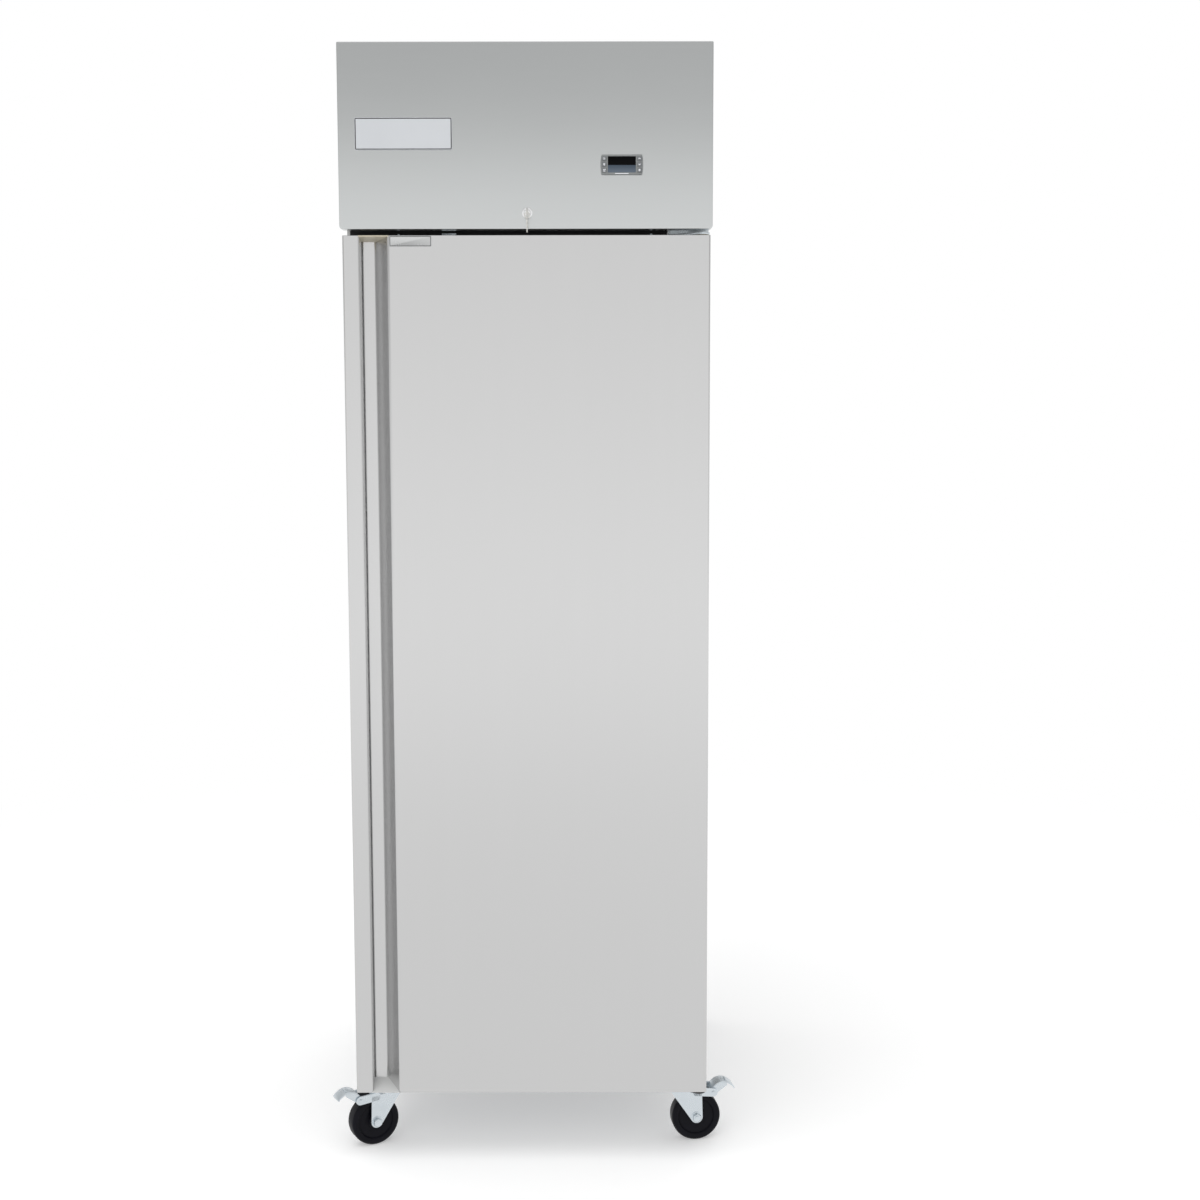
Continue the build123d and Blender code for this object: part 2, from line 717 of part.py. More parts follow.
with BuildPart() as compressor:
    # domed shell on a foot plate with four rubber feet, and a terminal cover on its side
    shell_bottom = compressor_base + base_sheet * 2
    shell_top = compressor_base + compressor_height
    rod((compressor_x, compressor_y, shell_bottom), (0, 0, 1), compressor_radius, shell_top - shell_bottom)
    fillet(compressor.edges().filter_by(GeomType.CIRCLE), dome_rise)
    rod((compressor_x, compressor_y, suction_z), (0, 1, 0), suction_pipe / 2 + 1, suction_y - compressor_y)
    rod((discharge_x, compressor_y, discharge_z), (0, 0, -1), hot_pipe / 2 + 1, 2 * stub_length)
    with Locations((compressor_x, compressor_y, shell_top - dome_rise - seam_height / 2)):
        Cylinder(compressor_radius + seam_proud, seam_height)
    with BuildSketch(Plane.XY.offset(compressor_base)) as foot_plate:
        with Locations((compressor_x, compressor_y)):
            Rectangle(compressor_feet + 2 * foot_margin, compressor_feet + 2 * foot_margin)
            with GridLocations(compressor_feet, compressor_feet, 2, 2):
                Circle(foot_hole / 2, mode=Mode.SUBTRACT)
    extrude(foot_plate.sketch, amount=base_sheet * 2)
    block(
        (compressor_x - terminal_width / 2, compressor_x + terminal_width / 2),
        (compressor_y - compressor_radius - terminal_proud, compressor_y - compressor_radius / 2),
        (compressor_base + terminal_rise, compressor_base + terminal_rise + terminal_height),
    )
    with Locations((compressor_x, compressor_y, 0)):
        with GridLocations(compressor_feet, compressor_feet, 2, 2):
            with Locations((0, 0, (base_top + compressor_base) / 2)):
                Cylinder(foot_hole / 2 + foot_rim, compressor_lift)
            with Locations((0, 0, compressor_base + base_sheet)):
                Cylinder(foot_hole / 2, base_sheet * 2)
            with Locations((0, 0, compressor_base + base_sheet * 2 + foot_nut / 2)):
                Cylinder(foot_hole / 2 + foot_rim / 2, foot_nut)
save(compressor.part, "compressor")

with BuildPart() as electrical_box:
    block((box_x, box_x + box_size_x), (box_y, box_y + box_size_y), (base_top, base_top + box_size_z))
    fillet(electrical_box.edges().filter_by(Axis.Z), lid_lap)
    # lid on top, a little wider
    block(
        (box_x - lid_lap, box_x + box_size_x + lid_lap),
        (box_y - lid_lap, box_y + box_size_y + lid_lap),
        (base_top + box_size_z - lid_depth, base_top + box_size_z + base_sheet),
    )
save(electrical_box.part, "electrical_box")

gland_z = box_top + rear_upstand / 2
with BuildPart() as cord_gland:
    gland_end = cabinet_back + gland_flange + gland_nose
    rod((gland_x, cabinet_back, gland_z), (0, 1, 0), gland_hole / 2 + gland_flange, gland_flange)
    rod((gland_x, cabinet_back, gland_z), (0, 1, 0), gland_hole / 2 + gland_flange / 2, gland_end - cabinet_back)
    rod((gland_x, cabinet_back - gland_neck, gland_z), (0, 1, 0), gland_hole / 2 - running_gap, gland_neck)
    hex_head((gland_x, back_inside, gland_z), (0, -1, 0), gland_hole + 2 * gland_flange, gland_nut)
    rod((gland_x, gland_end + 1, gland_z), (0, -1, 0), gland_hole / 2 - gland_wall, 3 * gland_end, Mode.SUBTRACT)
save(cord_gland.part, "cord_gland")


def pipe_run(points, diameter, bend):
    # One pipe along straight runs joined by bends.
    with BuildPart() as pipe:
        with BuildLine():
            FilletPolyline(*points, radius=bend)
        first, second = Vector(points[0]), Vector(points[1])
        with BuildSketch(Plane(origin=first, z_dir=second - first)):
            Circle(diameter / 2)
        sweep()
    return pipe.part


condenser_end = condenser_y + condenser_half + coil_end_sheet
lines_y = condenser_end + 2 * bend_radius
coil_end_x = coil_half + coil_end_sheet
row_rise = condenser_height / condenser_rows
drier_y = line_hole_y - (line_hole - suction_pipe) / 4
drier_z = base_top + row_rise
inlet_z = condenser_top - row_rise
port_y = coil_y + port_back
suction_x = line_hole_x + suction_pipe
liquid_x = line_hole_x - suction_pipe
refrigerant_lines = [
    # suction pipe, from the evaporator up through the roof to the compressor
    pipe_run(
        [
            (coil_end_x, port_y, coil_z + port_rise),
            (coil_end_x + port_reach, port_y, coil_z + port_rise),
            (coil_end_x + port_reach, line_hole_y, coil_z + port_rise),
            (suction_x, line_hole_y, coil_z + port_rise),
            (suction_x, line_hole_y, suction_z),
            (compressor_x, line_hole_y, suction_z),
            (compressor_x, suction_y, suction_z),
        ],
        suction_pipe,
        suction_bend,
    ),
    # discharge pipe, compressor to condenser
    pipe_run(
        [
            (discharge_x, compressor_y, discharge_z),
            (discharge_x, compressor_y, discharge_z + pipe_rise),
            (discharge_x, lines_y, discharge_z + pipe_rise),
            (condenser_x, lines_y, discharge_z + pipe_rise),
            (condenser_x, lines_y, inlet_z),
            (condenser_x, condenser_end, inlet_z),
        ],
        hot_pipe,
        hot_bend,
    ),
    # liquid pipe, condenser to drier
    pipe_run(
        [
            (condenser_x, condenser_end, drier_z),
            (condenser_x, lines_y, drier_z),
            (drier_start - 3 * liquid_bend, lines_y, drier_z),
            (drier_start - 3 * liquid_bend, drier_y, drier_z),
            (drier_start, drier_y, drier_z),
        ],
        liquid_pipe,
        liquid_bend,
    ),
    # thin pipe from the drier down through the roof to the evaporator
    pipe_run(
        [
            (drier_start + drier_length, drier_y, drier_z),
            (liquid_x, drier_y, drier_z),
            (liquid_x, drier_y, coil_z - port_rise),
            (coil_end_x + port_reach, drier_y, coil_z - port_rise),
            (coil_end_x + port_reach, port_y, coil_z - port_rise),
            (coil_end_x, port_y, coil_z - port_rise),
        ],
        liquid_pipe,
        liquid_bend,
    ),
]
with BuildPart() as drier:
    rod((drier_start, drier_y, drier_z), (1, 0, 0), drier_diameter / 2, drier_length)
    chamfer(drier.edges(), drier_diameter / 4)
save(Compound(children=[*refrigerant_lines, drier.part]), "refrigerant_lines")

# ================================================================ casters
axle_z = wheel_diameter / 2
leg_gap = wheel_width + 2 * hub_step + 2 * seat_gap
leg_outside = leg_gap / 2 + fork_sheet
crown_bottom = wheel_diameter + wheel_clearance
crown_top = crown_bottom + fork_sheet
plate_bottom = box_bottom - plate_sheet
pedal_x, pedal_z = caster_trail + 34.0, axle_z + 49.0


def fork(with_brake):
    # Swivel fork about the kingpin on Z. It trails along +X and carries the wheel on its bolt.
    with BuildPart() as body:
        for side in (-1, 1):
            leg_plane = Plane.XZ.offset(-leg_outside if side > 0 else leg_gap / 2)
            with BuildSketch(leg_plane) as leg:
                with Locations((caster_trail, axle_z)):
                    Circle(leg_round)
                with Locations((caster_trail / 2, crown_bottom)):
                    Rectangle(caster_trail + 2 * leg_round - 3, 2 * fork_sheet)
                make_hull()
                with Locations((caster_trail, axle_z)):
                    Circle(axle_diameter / 2 + running_gap, mode=Mode.SUBTRACT)
            extrude(leg.sketch, amount=fork_sheet)
            if with_brake:
                with BuildSketch(leg_plane) as ear:
                    with Locations((pedal_x, pedal_z)):
                        Circle(pedal_boss / 2)
                    with Locations((caster_trail, crown_bottom - fork_sheet)):
                        Circle(pedal_boss / 2)
                    make_hull()
                extrude(ear.sketch, amount=fork_sheet)
        block(
            (-crown_radius / 2, caster_trail + leg_round - 1.5),
            (-leg_outside, leg_outside),
            (crown_bottom, crown_top),
        )
        rod((0, 0, crown_bottom), (0, 0, 1), crown_radius, fork_sheet)
        rod((0, 0, crown_bottom), (0, 0, 1), kingpin_diameter / 2, box_bottom - crown_bottom - seat_gap)
        if with_brake:
            rod((pedal_x, -leg_outside - 2, pedal_z), (0, 1, 0), pedal_pin / 2, 2 * leg_outside + 4)
    with BuildPart() as axle:
        rod((caster_trail, -leg_outside, axle_z), (0, 1, 0), axle_diameter / 2, 2 * leg_outside + axle_nut)
        hex_head((caster_trail, -leg_outside, axle_z), (0, -1, 0), axle_hex, axle_head)
        hex_head((caster_trail, leg_outside, axle_z), (0, 1, 0), axle_hex, axle_nut)
    return [body.part, axle.part]


def caster_wheel():
    # Rounded tread, hollowed sides and a hub that nearly fills the fork.
    with BuildPart() as wheel:
        with Locations(Location((caster_trail, 0, axle_z), (90, 0, 0))):
            Cylinder(wheel_diameter / 2, wheel_width)
            fillet(wheel.edges(), wheel_round)
            with Locations(*[(0, 0, side * (wheel_width / 2 - wheel_dish / 2)) for side in (-1, 1)]):
                Cylinder(wheel_diameter / 2 - wheel_rim, wheel_dish, mode=Mode.SUBTRACT)
            Cylinder(wheel_hub / 2, leg_gap - 2 * seat_gap)
            Cylinder(axle_diameter / 2 + running_gap, leg_gap + 1, mode=Mode.SUBTRACT)
    return wheel.part


def brake_pedal():
    # Tube on the fork's pin, a nose that wedges on the tread, and a foot plate that slopes outwards.
    with BuildPart() as pedal:
        with BuildSketch(Plane.XZ.offset(-leg_gap / 2 + 2 * seat_gap)) as lever:
            with Locations((pedal_x, pedal_z)):
                Circle(pedal_boss / 2 - 1.5)
                with PolarLocations(pedal_nose, 1, start_angle=brake_angle_rest):
                    Circle(2)
            make_hull()
            with BuildLine():
                Polyline(
                    (pedal_x - 2, pedal_z + 3),
                    (pedal_x + 4, pedal_z + 15),
                    (pedal_x + 16, pedal_z + 23),
                    (pedal_x + 30, pedal_z + 21),
                    (pedal_x + 46, pedal_z + 10),
                    (pedal_x + 44, pedal_z + 6),
                    (pedal_x + 28, pedal_z + 15),
                    (pedal_x + 17, pedal_z + 16),
                    (pedal_x + 7, pedal_z + 3),
                    close=True,
                )
            make_face()
            with Locations((pedal_x, pedal_z)):
                Circle(pedal_pin / 2 + running_gap, mode=Mode.SUBTRACT)
        extrude(lever.sketch, amount=leg_gap - 4 * seat_gap)
    return pedal.part


def wheel_direction():
    # Angle from +X, in the XZ plane, of the line from the brake's pin to the axle.
    return degrees(atan2(axle_z - pedal_z, caster_trail - pedal_x))


brake_angle_rest = wheel_direction() + brake_stroke
kingpin_x = half - caster_inset_x
kingpin_front = cabinet_front + caster_inset_front
kingpin_back = cabinet_back - caster_inset_back
casters = {
    "front_left": (-kingpin_x, kingpin_front, front_left_heading, True),
    "front_right": (kingpin_x, kingpin_front, front_right_heading, True),
    "back_left": (-kingpin_x, kingpin_back, back_left_heading, False),
    "back_right": (kingpin_x, kingpin_back, back_right_heading, False),
}
for name, (x, y, heading, braked) in casters.items():
    place = Plane(origin=(x, y, 0), x_dir=(cos(radians(heading)), sin(radians(heading)), 0)).location
    save(place * Compound(children=fork(braked)), f"fork_{name}")
    save(place * caster_wheel(), f"wheel_{name}")
    if braked:
        save(place * brake_pedal(), f"pedal_{name}")

with BuildPart() as caster_plates:
    with Locations(*[(x, y, 0) for x, y, heading, braked in casters.values()]):
        with Locations((0, 0, box_bottom - plate_sheet / 2)):
            Box(plate_length, plate_width, plate_sheet)
            with GridLocations(bolt_pitch_x, bolt_pitch_y, 2, 2):
                Box(bolt_slot - bolt_size, bolt_size + 1, plate_sheet + 1, mode=Mode.SUBTRACT)
                with Locations(*[(side * (bolt_slot - bolt_size) / 2, 0) for side in (-1, 1)]):
                    Cylinder((bolt_size + 1) / 2, plate_sheet + 1, mode=Mode.SUBTRACT)
        with Locations((0, 0, (crown_top + seat_gap + plate_bottom) / 2)):
            Cylinder(crown_radius - 3, plate_bottom - crown_top - seat_gap)
        with Locations((0, 0, (crown_top + box_bottom) / 2)):
            Cylinder(kingpin_diameter / 2 + running_gap, box_bottom - crown_top, mode=Mode.SUBTRACT)
save(caster_plates.part, "caster_plates")

with BuildPart() as plate_bolts:
    with Locations(*[(x, y, 0) for x, y, heading, braked in casters.values()]):
        with GridLocations(bolt_pitch_x, bolt_pitch_y, 2, 2):
            with Locations((0, 0, plate_bottom - bolt_head / 2)):
                Cylinder(bolt_size * 0.85, bolt_head)
            with Locations((0, 0, plate_bottom + plate_sheet / 2)):
                Cylinder(bolt_size / 2, plate_sheet)

# ================================================================ hinges
top_leaf_z = door_top + top_hinge_gap
bottom_leaf_top = box_bottom + hinge_plate


def hinge(leaf_z, leg_z, length, pin_z):
    # Level leaf round the pin, and an upright leg with countersunk screws on the cabinet's face.
    with BuildPart() as bracket:
        with BuildSketch(Plane.XY.offset(leaf_z)) as leaf:
            with Locations((hinge_x, hinge_y)):
                Circle(hinge_inset)
            with Locations((half - hinge_inset, cabinet_front - hinge_plate / 2)):
                Rectangle(2 * hinge_inset, hinge_plate)
            with Locations((half - length + hinge_inset, cabinet_front - hinge_plate - 1)):
                Rectangle(2 * hinge_inset, hinge_plate / 2)
            make_hull()
        extrude(leaf.sketch, amount=hinge_plate)
        block((half - length, half), (cabinet_front - hinge_plate, cabinet_front), leg_z)
        rod((hinge_x, hinge_y, pin_z[0]), (0, 0, 1), hinge_pin / 2, pin_z[1] - pin_z[0])
        with Locations(*screw_places(length, leg_z)):
            Cylinder(screw_size / 2, 3 * hinge_plate, rotation=(90, 0, 0), mode=Mode.SUBTRACT)
    return bracket.part


def screw_places(length, leg_z):
    # Two screws in the hinge's upright leg.
    z = (leg_z[0] + leg_z[1] + hinge_plate / 2) / 2
    screw_insets = (hinge_screw_end, length - hinge_screw_root)
    return [(half - length + inset, cabinet_front - hinge_plate / 2, z) for inset in screw_insets]


top_leg = (top_leaf_z, top_leaf_z + top_leg_rise)
bottom_leg = (box_bottom, door_bottom + gasket_inset - hinge_gasket_gap)
save(
    hinge(top_leaf_z, top_leg, top_hinge_length, (door_top - pin_depth, top_leaf_z + hinge_plate)),
    "hinge_top",
)
save(
    hinge(box_bottom, bottom_leg, bottom_hinge_length, (box_bottom, door_bottom + pin_depth)),
    "hinge_bottom",
)

with BuildPart() as hinge_screws:
    with Locations(*screw_places(top_hinge_length, top_leg), *screw_places(bottom_hinge_length, bottom_leg)):
        Cylinder(screw_size / 2 - running_gap, hinge_plate, rotation=(90, 0, 0))
save(Compound(children=[plate_bolts.part, hinge_screws.part]), "cabinet_screws")

# ================================================================ door
pocket_right = -half + lip_width + pocket_floor + pocket_slope


def door_outline(inset):
    # The door's section from above, with the pocket of the handle behind its lip.
    with BuildSketch() as outline:
        with BuildLine():
            Polyline(
                (-half, door_back),
                (-half, door_front),
                (-half + lip_width, door_front),
                (-half + lip_width, door_front + pocket_depth),
                (-half + lip_width + pocket_floor, door_front + pocket_depth),
                (pocket_right, door_front),
                (half, door_front),
                (half, door_back),
                close=True,
            )
        make_face()
        front = outline.vertices().group_by(Axis.Y)
        fillet(front[0], door_corner)
        fillet(outline.vertices().filter_by(lambda v: abs(v.Y - door_front - pocket_depth) < 0.01), pocket_corner)
        if inset:
            offset(amount=-inset, kind=Kind.INTERSECTION)
    return outline.sketch


def door_plug(inset, start):
    # The raised middle of the inner panel, as a solid that starts behind the door's back.
    with BuildPart() as plug:
        for depth, shrink in ((start, 0.0), (plug_height - inset, plug_draft)):
            with BuildSketch(Plane(origin=(0, door_back + depth, 0), x_dir=(1, 0, 0), z_dir=(0, 1, 0))):
                with Locations((0, -(door_bottom + door_top) / 2)):
                    RectangleRounded(
                        body_width - 2 * (plug_inset + shrink + inset),
                        door_height - 2 * (plug_inset + shrink + inset),
                        plug_round - inset,
                    )
        loft()
    return plug.part


strike_x = (lock_x - cam_width / 2 - cam_gap, lock_x + cam_length * door_slot + cam_gap)
strike_y = (cam_y - cam_gap, cam_y + cam_sheet + cam_gap)
strike_depth = door_top - lock_z + cam_length + 2 * cam_gap
outer_face = door_outline(0)
inner_face = door_outline(door_sheet)
pin_hole = hinge_pin / 2 + running_gap + bush_wall


def door_recesses():
    # Holes for the hinge bushes and the slot that the lock's cam drops into.
    rod((hinge_x, hinge_y, door_top + 1), (0, 0, -1), pin_hole, pin_depth + 3, Mode.SUBTRACT)
    rod((hinge_x, hinge_y, door_bottom - 1), (0, 0, 1), pin_hole, pin_depth + 3, Mode.SUBTRACT)
    block(strike_x, strike_y, (door_top - strike_depth, door_top + 1), Mode.SUBTRACT)


with BuildPart() as door_outer_skin:
    add(extrude(Plane.XY.offset(door_bottom).location * outer_face, amount=door_height, dir=(0, 0, 1)))
    add(
        extrude(
            Plane.XY.offset(door_bottom + door_sheet).location * inner_face,
            amount=door_height - 2 * door_sheet,
            dir=(0, 0, 1),
            mode=Mode.PRIVATE,
        ),
        mode=Mode.SUBTRACT,
    )
    block(
        (-half + door_sheet, half - door_sheet),
        (door_back - door_sheet, door_back + 1),
        (door_bottom + door_sheet, door_top - door_sheet),
        Mode.SUBTRACT,
    )
    door_recesses()
save(door_outer_skin.part, "door_outer_skin")

with BuildPart() as door_liner:
    block(
        (-half + door_sheet, half - door_sheet),
        (door_back - door_sheet, door_back),
        (door_bottom + door_sheet, door_top - door_sheet),
    )
    add(door_plug(0, -door_sheet))
    add(door_plug(door_sheet, -door_sheet - 1), mode=Mode.SUBTRACT)
save(door_liner.part, "door_liner")

with BuildPart() as door_foam:
    add(
        extrude(
            Plane.XY.offset(door_bottom + door_sheet).location * inner_face,
            amount=door_height - 2 * door_sheet,
            dir=(0, 0, 1),
            mode=Mode.PRIVATE,
        )
    )
    add(door_plug(door_sheet, -door_sheet - 1))
    door_recesses()
save(door_foam.part, "door_foam")

with BuildPart() as door_gasket:
    gasket_y = door_back + gasket_gap - seat_gap
    with BuildSketch(Plane(origin=(0, door_back, 0), x_dir=(1, 0, 0), z_dir=(0, -1, 0))) as ring:
        with Locations((0, (door_bottom + door_top) / 2)):
            Rectangle(body_width - 2 * gasket_inset, door_height - 2 * gasket_inset)
            Rectangle(
                body_width - 2 * (gasket_inset + gasket_width),
                door_height - 2 * (gasket_inset + gasket_width),
                mode=Mode.SUBTRACT,
            )
    extrude(ring.sketch, amount=-(gasket_y - door_back))
save(door_gasket.part, "door_gasket")


def handle_cap(z, height):
    # Plug that closes one end of the handle's pocket, flush with the door's face.
    with BuildPart() as cap:
        with BuildSketch(Plane.XY.offset(z)):
            with BuildLine():
                Polyline(
                    (-half + lip_width - door_corner, door_front),
                    (-half + lip_width - door_corner, door_front + pocket_depth),
                    (pocket_right + door_corner, door_front + pocket_depth),
                    (pocket_right + door_corner, door_front),
                    close=True,
                )
            make_face()
            add(outer_face, mode=Mode.SUBTRACT)
        extrude(amount=height)
    return cap.part


caps = [handle_cap(door_top - top_cap_height, top_cap_height), handle_cap(door_bottom, bottom_cap_height)]
save(Compound(children=caps), "handle_caps")

with BuildPart() as door_tag:
    block(
        (pocket_right + door_corner, pocket_right + door_corner + tag_width),
        (door_front - tag_sheet, door_front),
        (door_top - tag_height - 1, door_top - 1),
    )
    fillet(door_tag.edges().filter_by(Axis.Y), 2)
save(door_tag.part, "door_tag")

with BuildPart() as hinge_bushes:
    for mouth, way, gap in ((door_top, -1, top_hinge_gap), (door_bottom, 1, door_bottom - bottom_leaf_top)):
        rod((hinge_x, hinge_y, mouth), (0, 0, way), pin_hole, pin_depth + 2)
        rod((hinge_x, hinge_y, mouth), (0, 0, -way), pin_hole + bush_flange, gap - seat_gap)
        rod(
            (hinge_x, hinge_y, mouth - way * (gap + 1)),
            (0, 0, way),
            hinge_pin / 2 + running_gap,
            pin_depth + gap + 1 + seat_gap,
            Mode.SUBTRACT,
        )
save(hinge_bushes.part, "hinge_bushes")

# ================================================================ front cover
control_cut_x = control_width / 2 - control_margin
control_cut_z = control_height / 2 - control_margin
with BuildPart() as cover_panel:
    # pan with four returns, open at the back
    block((-cover_half, cover_half), (cover_front, cover_back), (cover_bottom, cover_top))
    fillet(cover_panel.edges().filter_by(Axis.Y).group_by(Axis.Z)[0], cover_corner)
    block(
        (-cover_half + cover_sheet, cover_half - cover_sheet),
        (cover_front + cover_sheet, cover_back + 1),
        (cover_bottom + cover_sheet, cover_top - cover_sheet),
        Mode.SUBTRACT,
    )
    # the top and bottom returns stop short of the cabinet
    block(
        (-cover_half + cover_sheet, cover_half - cover_sheet),
        (cabinet_front + cover_top_lap, cover_back + 1),
        (cover_top - 2 * cover_sheet, cover_top + 1),
        Mode.SUBTRACT,
    )
    block(
        (-cover_half - 1, cover_half + 1),
        (cover_front + cover_bottom_lap, cover_back + 1),
        (cover_bottom - 1, top_leg[1] + cam_gap),
        Mode.SUBTRACT,
    )
    # slot for the lock's cam
    block(
        (lock_x - cam_width / 2 - cam_gap, lock_x + cam_length * cover_slot + cam_gap),
        strike_y,
        (cover_bottom - 1, cover_bottom + cover_sheet + 1),
        Mode.SUBTRACT,
    )
    block(
        (control_x - control_cut_x, control_x + control_cut_x),
        (cover_front - 1, cover_front + cover_sheet + 1),
        (control_z - control_cut_z, control_z + control_cut_z),
        Mode.SUBTRACT,
    )
    rod((lock_x, cover_front - 1, lock_z), (0, 1, 0), barrel_diameter / 2, cover_sheet + 2, Mode.SUBTRACT)
    # pivot pins, riveted in the side returns
    for side in (-1, 1):
        rod(
            (side * (cover_half + rivet_head), pivot_y, pivot_z),
            (-side, 0, 0),
            pivot_diameter / 2 - running_gap,
            cover_overhang + rivet_head + pivot_reach,
        )
        rod(
            (side * (cover_half + rivet_head), pivot_y, pivot_z),
            (-side, 0, 0),
            pivot_diameter * rivet_spread / 2,
            rivet_head,
        )
save(cover_panel.part, "cover_panel")

with BuildPart() as nameplate:
    block(
        (badge_x - badge_width / 2, badge_x + badge_width / 2),
        (cover_front - badge_sheet, cover_front),
        (cover_top - badge_drop - badge_height / 2, cover_top - badge_drop + badge_height / 2),
    )
    fillet(nameplate.edges().filter_by(Axis.Y), badge_corner)
save(nameplate.part, "nameplate")

# ---------------------------------------------------------------- controller
control_face = cover_front - control_proud
button_x = window_width / 2 + (control_width - window_width) / 4
button_places = [
    (side * button_x, row * button_pitch) for side in (-1, 1) for row in (1, 0, -1)
]
with BuildPart() as control_bezel:
    with BuildSketch(Plane(origin=(control_x, cover_front, control_z), x_dir=(1, 0, 0), z_dir=(0, -1, 0))) as frame:
        with BuildLine():
            Polyline(
                (control_width / 2 - bezel_bulge, -control_height / 2),
                (-control_width / 2 + bezel_bulge, -control_height / 2),
            )
            ThreePointArc(
                (-control_width / 2 + bezel_bulge, -control_height / 2),
                (-control_width / 2, 0),
                (-control_width / 2 + bezel_bulge, control_height / 2),
            )
            Line(
                (-control_width / 2 + bezel_bulge, control_height / 2),
                (control_width / 2 - bezel_bulge, control_height / 2),
            )
            ThreePointArc(
                (control_width / 2 - bezel_bulge, control_height / 2),
                (control_width / 2, 0),
                (control_width / 2 - bezel_bulge, -control_height / 2),
            )
        make_face()
    extrude(frame.sketch, amount=control_proud)
    block(
        (control_x - control_cut_x + seat_gap, control_x + control_cut_x - seat_gap),
        (cover_front, control_face + control_depth),
        (control_z - control_cut_z + seat_gap, control_z + control_cut_z - seat_gap),
    )
    block(
        (control_x - window_width / 2, control_x + window_width / 2),
        (control_face - 1, control_face + window_sheet),
        (control_z - window_height / 2, control_z + window_height / 2),
        Mode.SUBTRACT,
    )
    for x, z in button_places:
        block(
            (control_x + x - button_width / 2, control_x + x + button_width / 2),
            (control_face - 1, control_face + button_body),
            (control_z + z - button_height / 2, control_z + z + button_height / 2),
            Mode.SUBTRACT,
        )
save(control_bezel.part, "control_bezel")

with BuildPart() as display_window:
    block(
        (control_x - window_width / 2, control_x + window_width / 2),
        (control_face, control_face + window_sheet),
        (control_z - window_height / 2, control_z + window_height / 2),
    )
save(display_window.part, "display_window")

button_names = ("snow", "lamp", "defrost", "up", "down", "set")
for name, (x, z) in zip(button_names, button_places):
    with BuildPart() as button:
        block(
            (control_x + x - button_width / 2 + button_gap, control_x + x + button_width / 2 - button_gap),
            (control_face - button_proud, control_face + button_body - button_travel - seat_gap),
            (control_z + z - button_height / 2 + button_gap, control_z + z + button_height / 2 - button_gap),
        )
        fillet(button.edges().filter_by(Axis.Y), button_corner)
    save(button.part, f"button_{name}")

# ---------------------------------------------------------------- lock
lock_face = cover_front - lock_rim
with BuildPart() as lock_barrel:
    rod((lock_x, lock_face, lock_z), (0, 1, 0), lock_diameter / 2, lock_rim)
    rod((lock_x, cover_front, lock_z), (0, 1, 0), barrel_diameter / 2 - running_gap, barrel_length + cover_sheet)
    hex_head((lock_x, cover_front + cover_sheet, lock_z), (0, 1, 0), barrel_diameter + barrel_nut_rim, barrel_nut)
    rod((lock_x, lock_face - 1, lock_z), (0, 1, 0), plug_diameter / 2 + running_gap, barrel_length + 9, Mode.SUBTRACT)
save(lock_barrel.part, "lock_barrel")

with BuildPart() as lock_plug:
    # round plug with a keyway, and the cam on its back
    rod((lock_x, lock_face, lock_z), (0, 1, 0), plug_diameter / 2, cam_y - lock_face)
    block(
        (lock_x - key_sheet / 2 - key_gap, lock_x + key_sheet / 2 + key_gap),
        (lock_face - 1, lock_face + key_blade + 2),
        (lock_z - blade_width / 2 - key_gap, lock_z + blade_width / 2 + key_gap),
        Mode.SUBTRACT,
    )
    with BuildSketch(Plane(origin=(lock_x, cam_y, lock_z), x_dir=(1, 0, 0), z_dir=(0, -1, 0))) as cam:
        Circle(cam_width / 2)
        with Locations((cam_length - cam_width / 2, 0)):
            Circle(cam_width / 2)
        make_hull()
    extrude(cam.sketch, amount=-cam_sheet)
save(lock_plug.part, "lock_plug")


def key_blank(tip, way):
    # Flat key in the YZ plane: blade, shoulder and round bow with its hole.
    # It starts at the blade's tip and runs along +X of the sketch, up to the bow.
    with BuildPart() as key:
        with BuildSketch(Plane(origin=tip, x_dir=way, z_dir=(1, 0, 0))):
            with Locations((key_blade / 2, 0)):
                Rectangle(key_blade, blade_width)
            with Locations((key_blade + bow_radius, 0)):
                Circle(bow_radius)
            with Locations((key_blade + bow_radius / 2, 0)):
                Rectangle(bow_radius, blade_width)
            with Locations((key_blade + bow_radius + hole_offset, 0)):
                Circle(bow_hole, mode=Mode.SUBTRACT)
        extrude(amount=key_sheet / 2, both=True)
    return key.part


key_tip = Vector(lock_x, lock_face + key_blade - key_shoulder, lock_z)
hole_y = key_tip.Y - key_blade - bow_radius - hole_offset
hang = bow_hole - ring_wire - ring_slack
ring_z = lock_z - hang - ring_radius
spare_hole_z = ring_z - ring_radius - hang
with BuildPart() as key_ring:
    with Locations(Location((lock_x, hole_y, ring_z), (90, 0, 0))):
        Torus(ring_radius, ring_wire)
save(Compound(children=[key_blank(key_tip, (0, -1, 0)), key_ring.part]), "key")
spare_tip = (lock_x, hole_y, spare_hole_z - key_blade - bow_radius - hole_offset)
save(key_blank(spare_tip, (0, 0, 1)), "spare_key")
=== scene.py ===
import json
import math

import bmesh
import bpy
from mathutils import Matrix, Vector


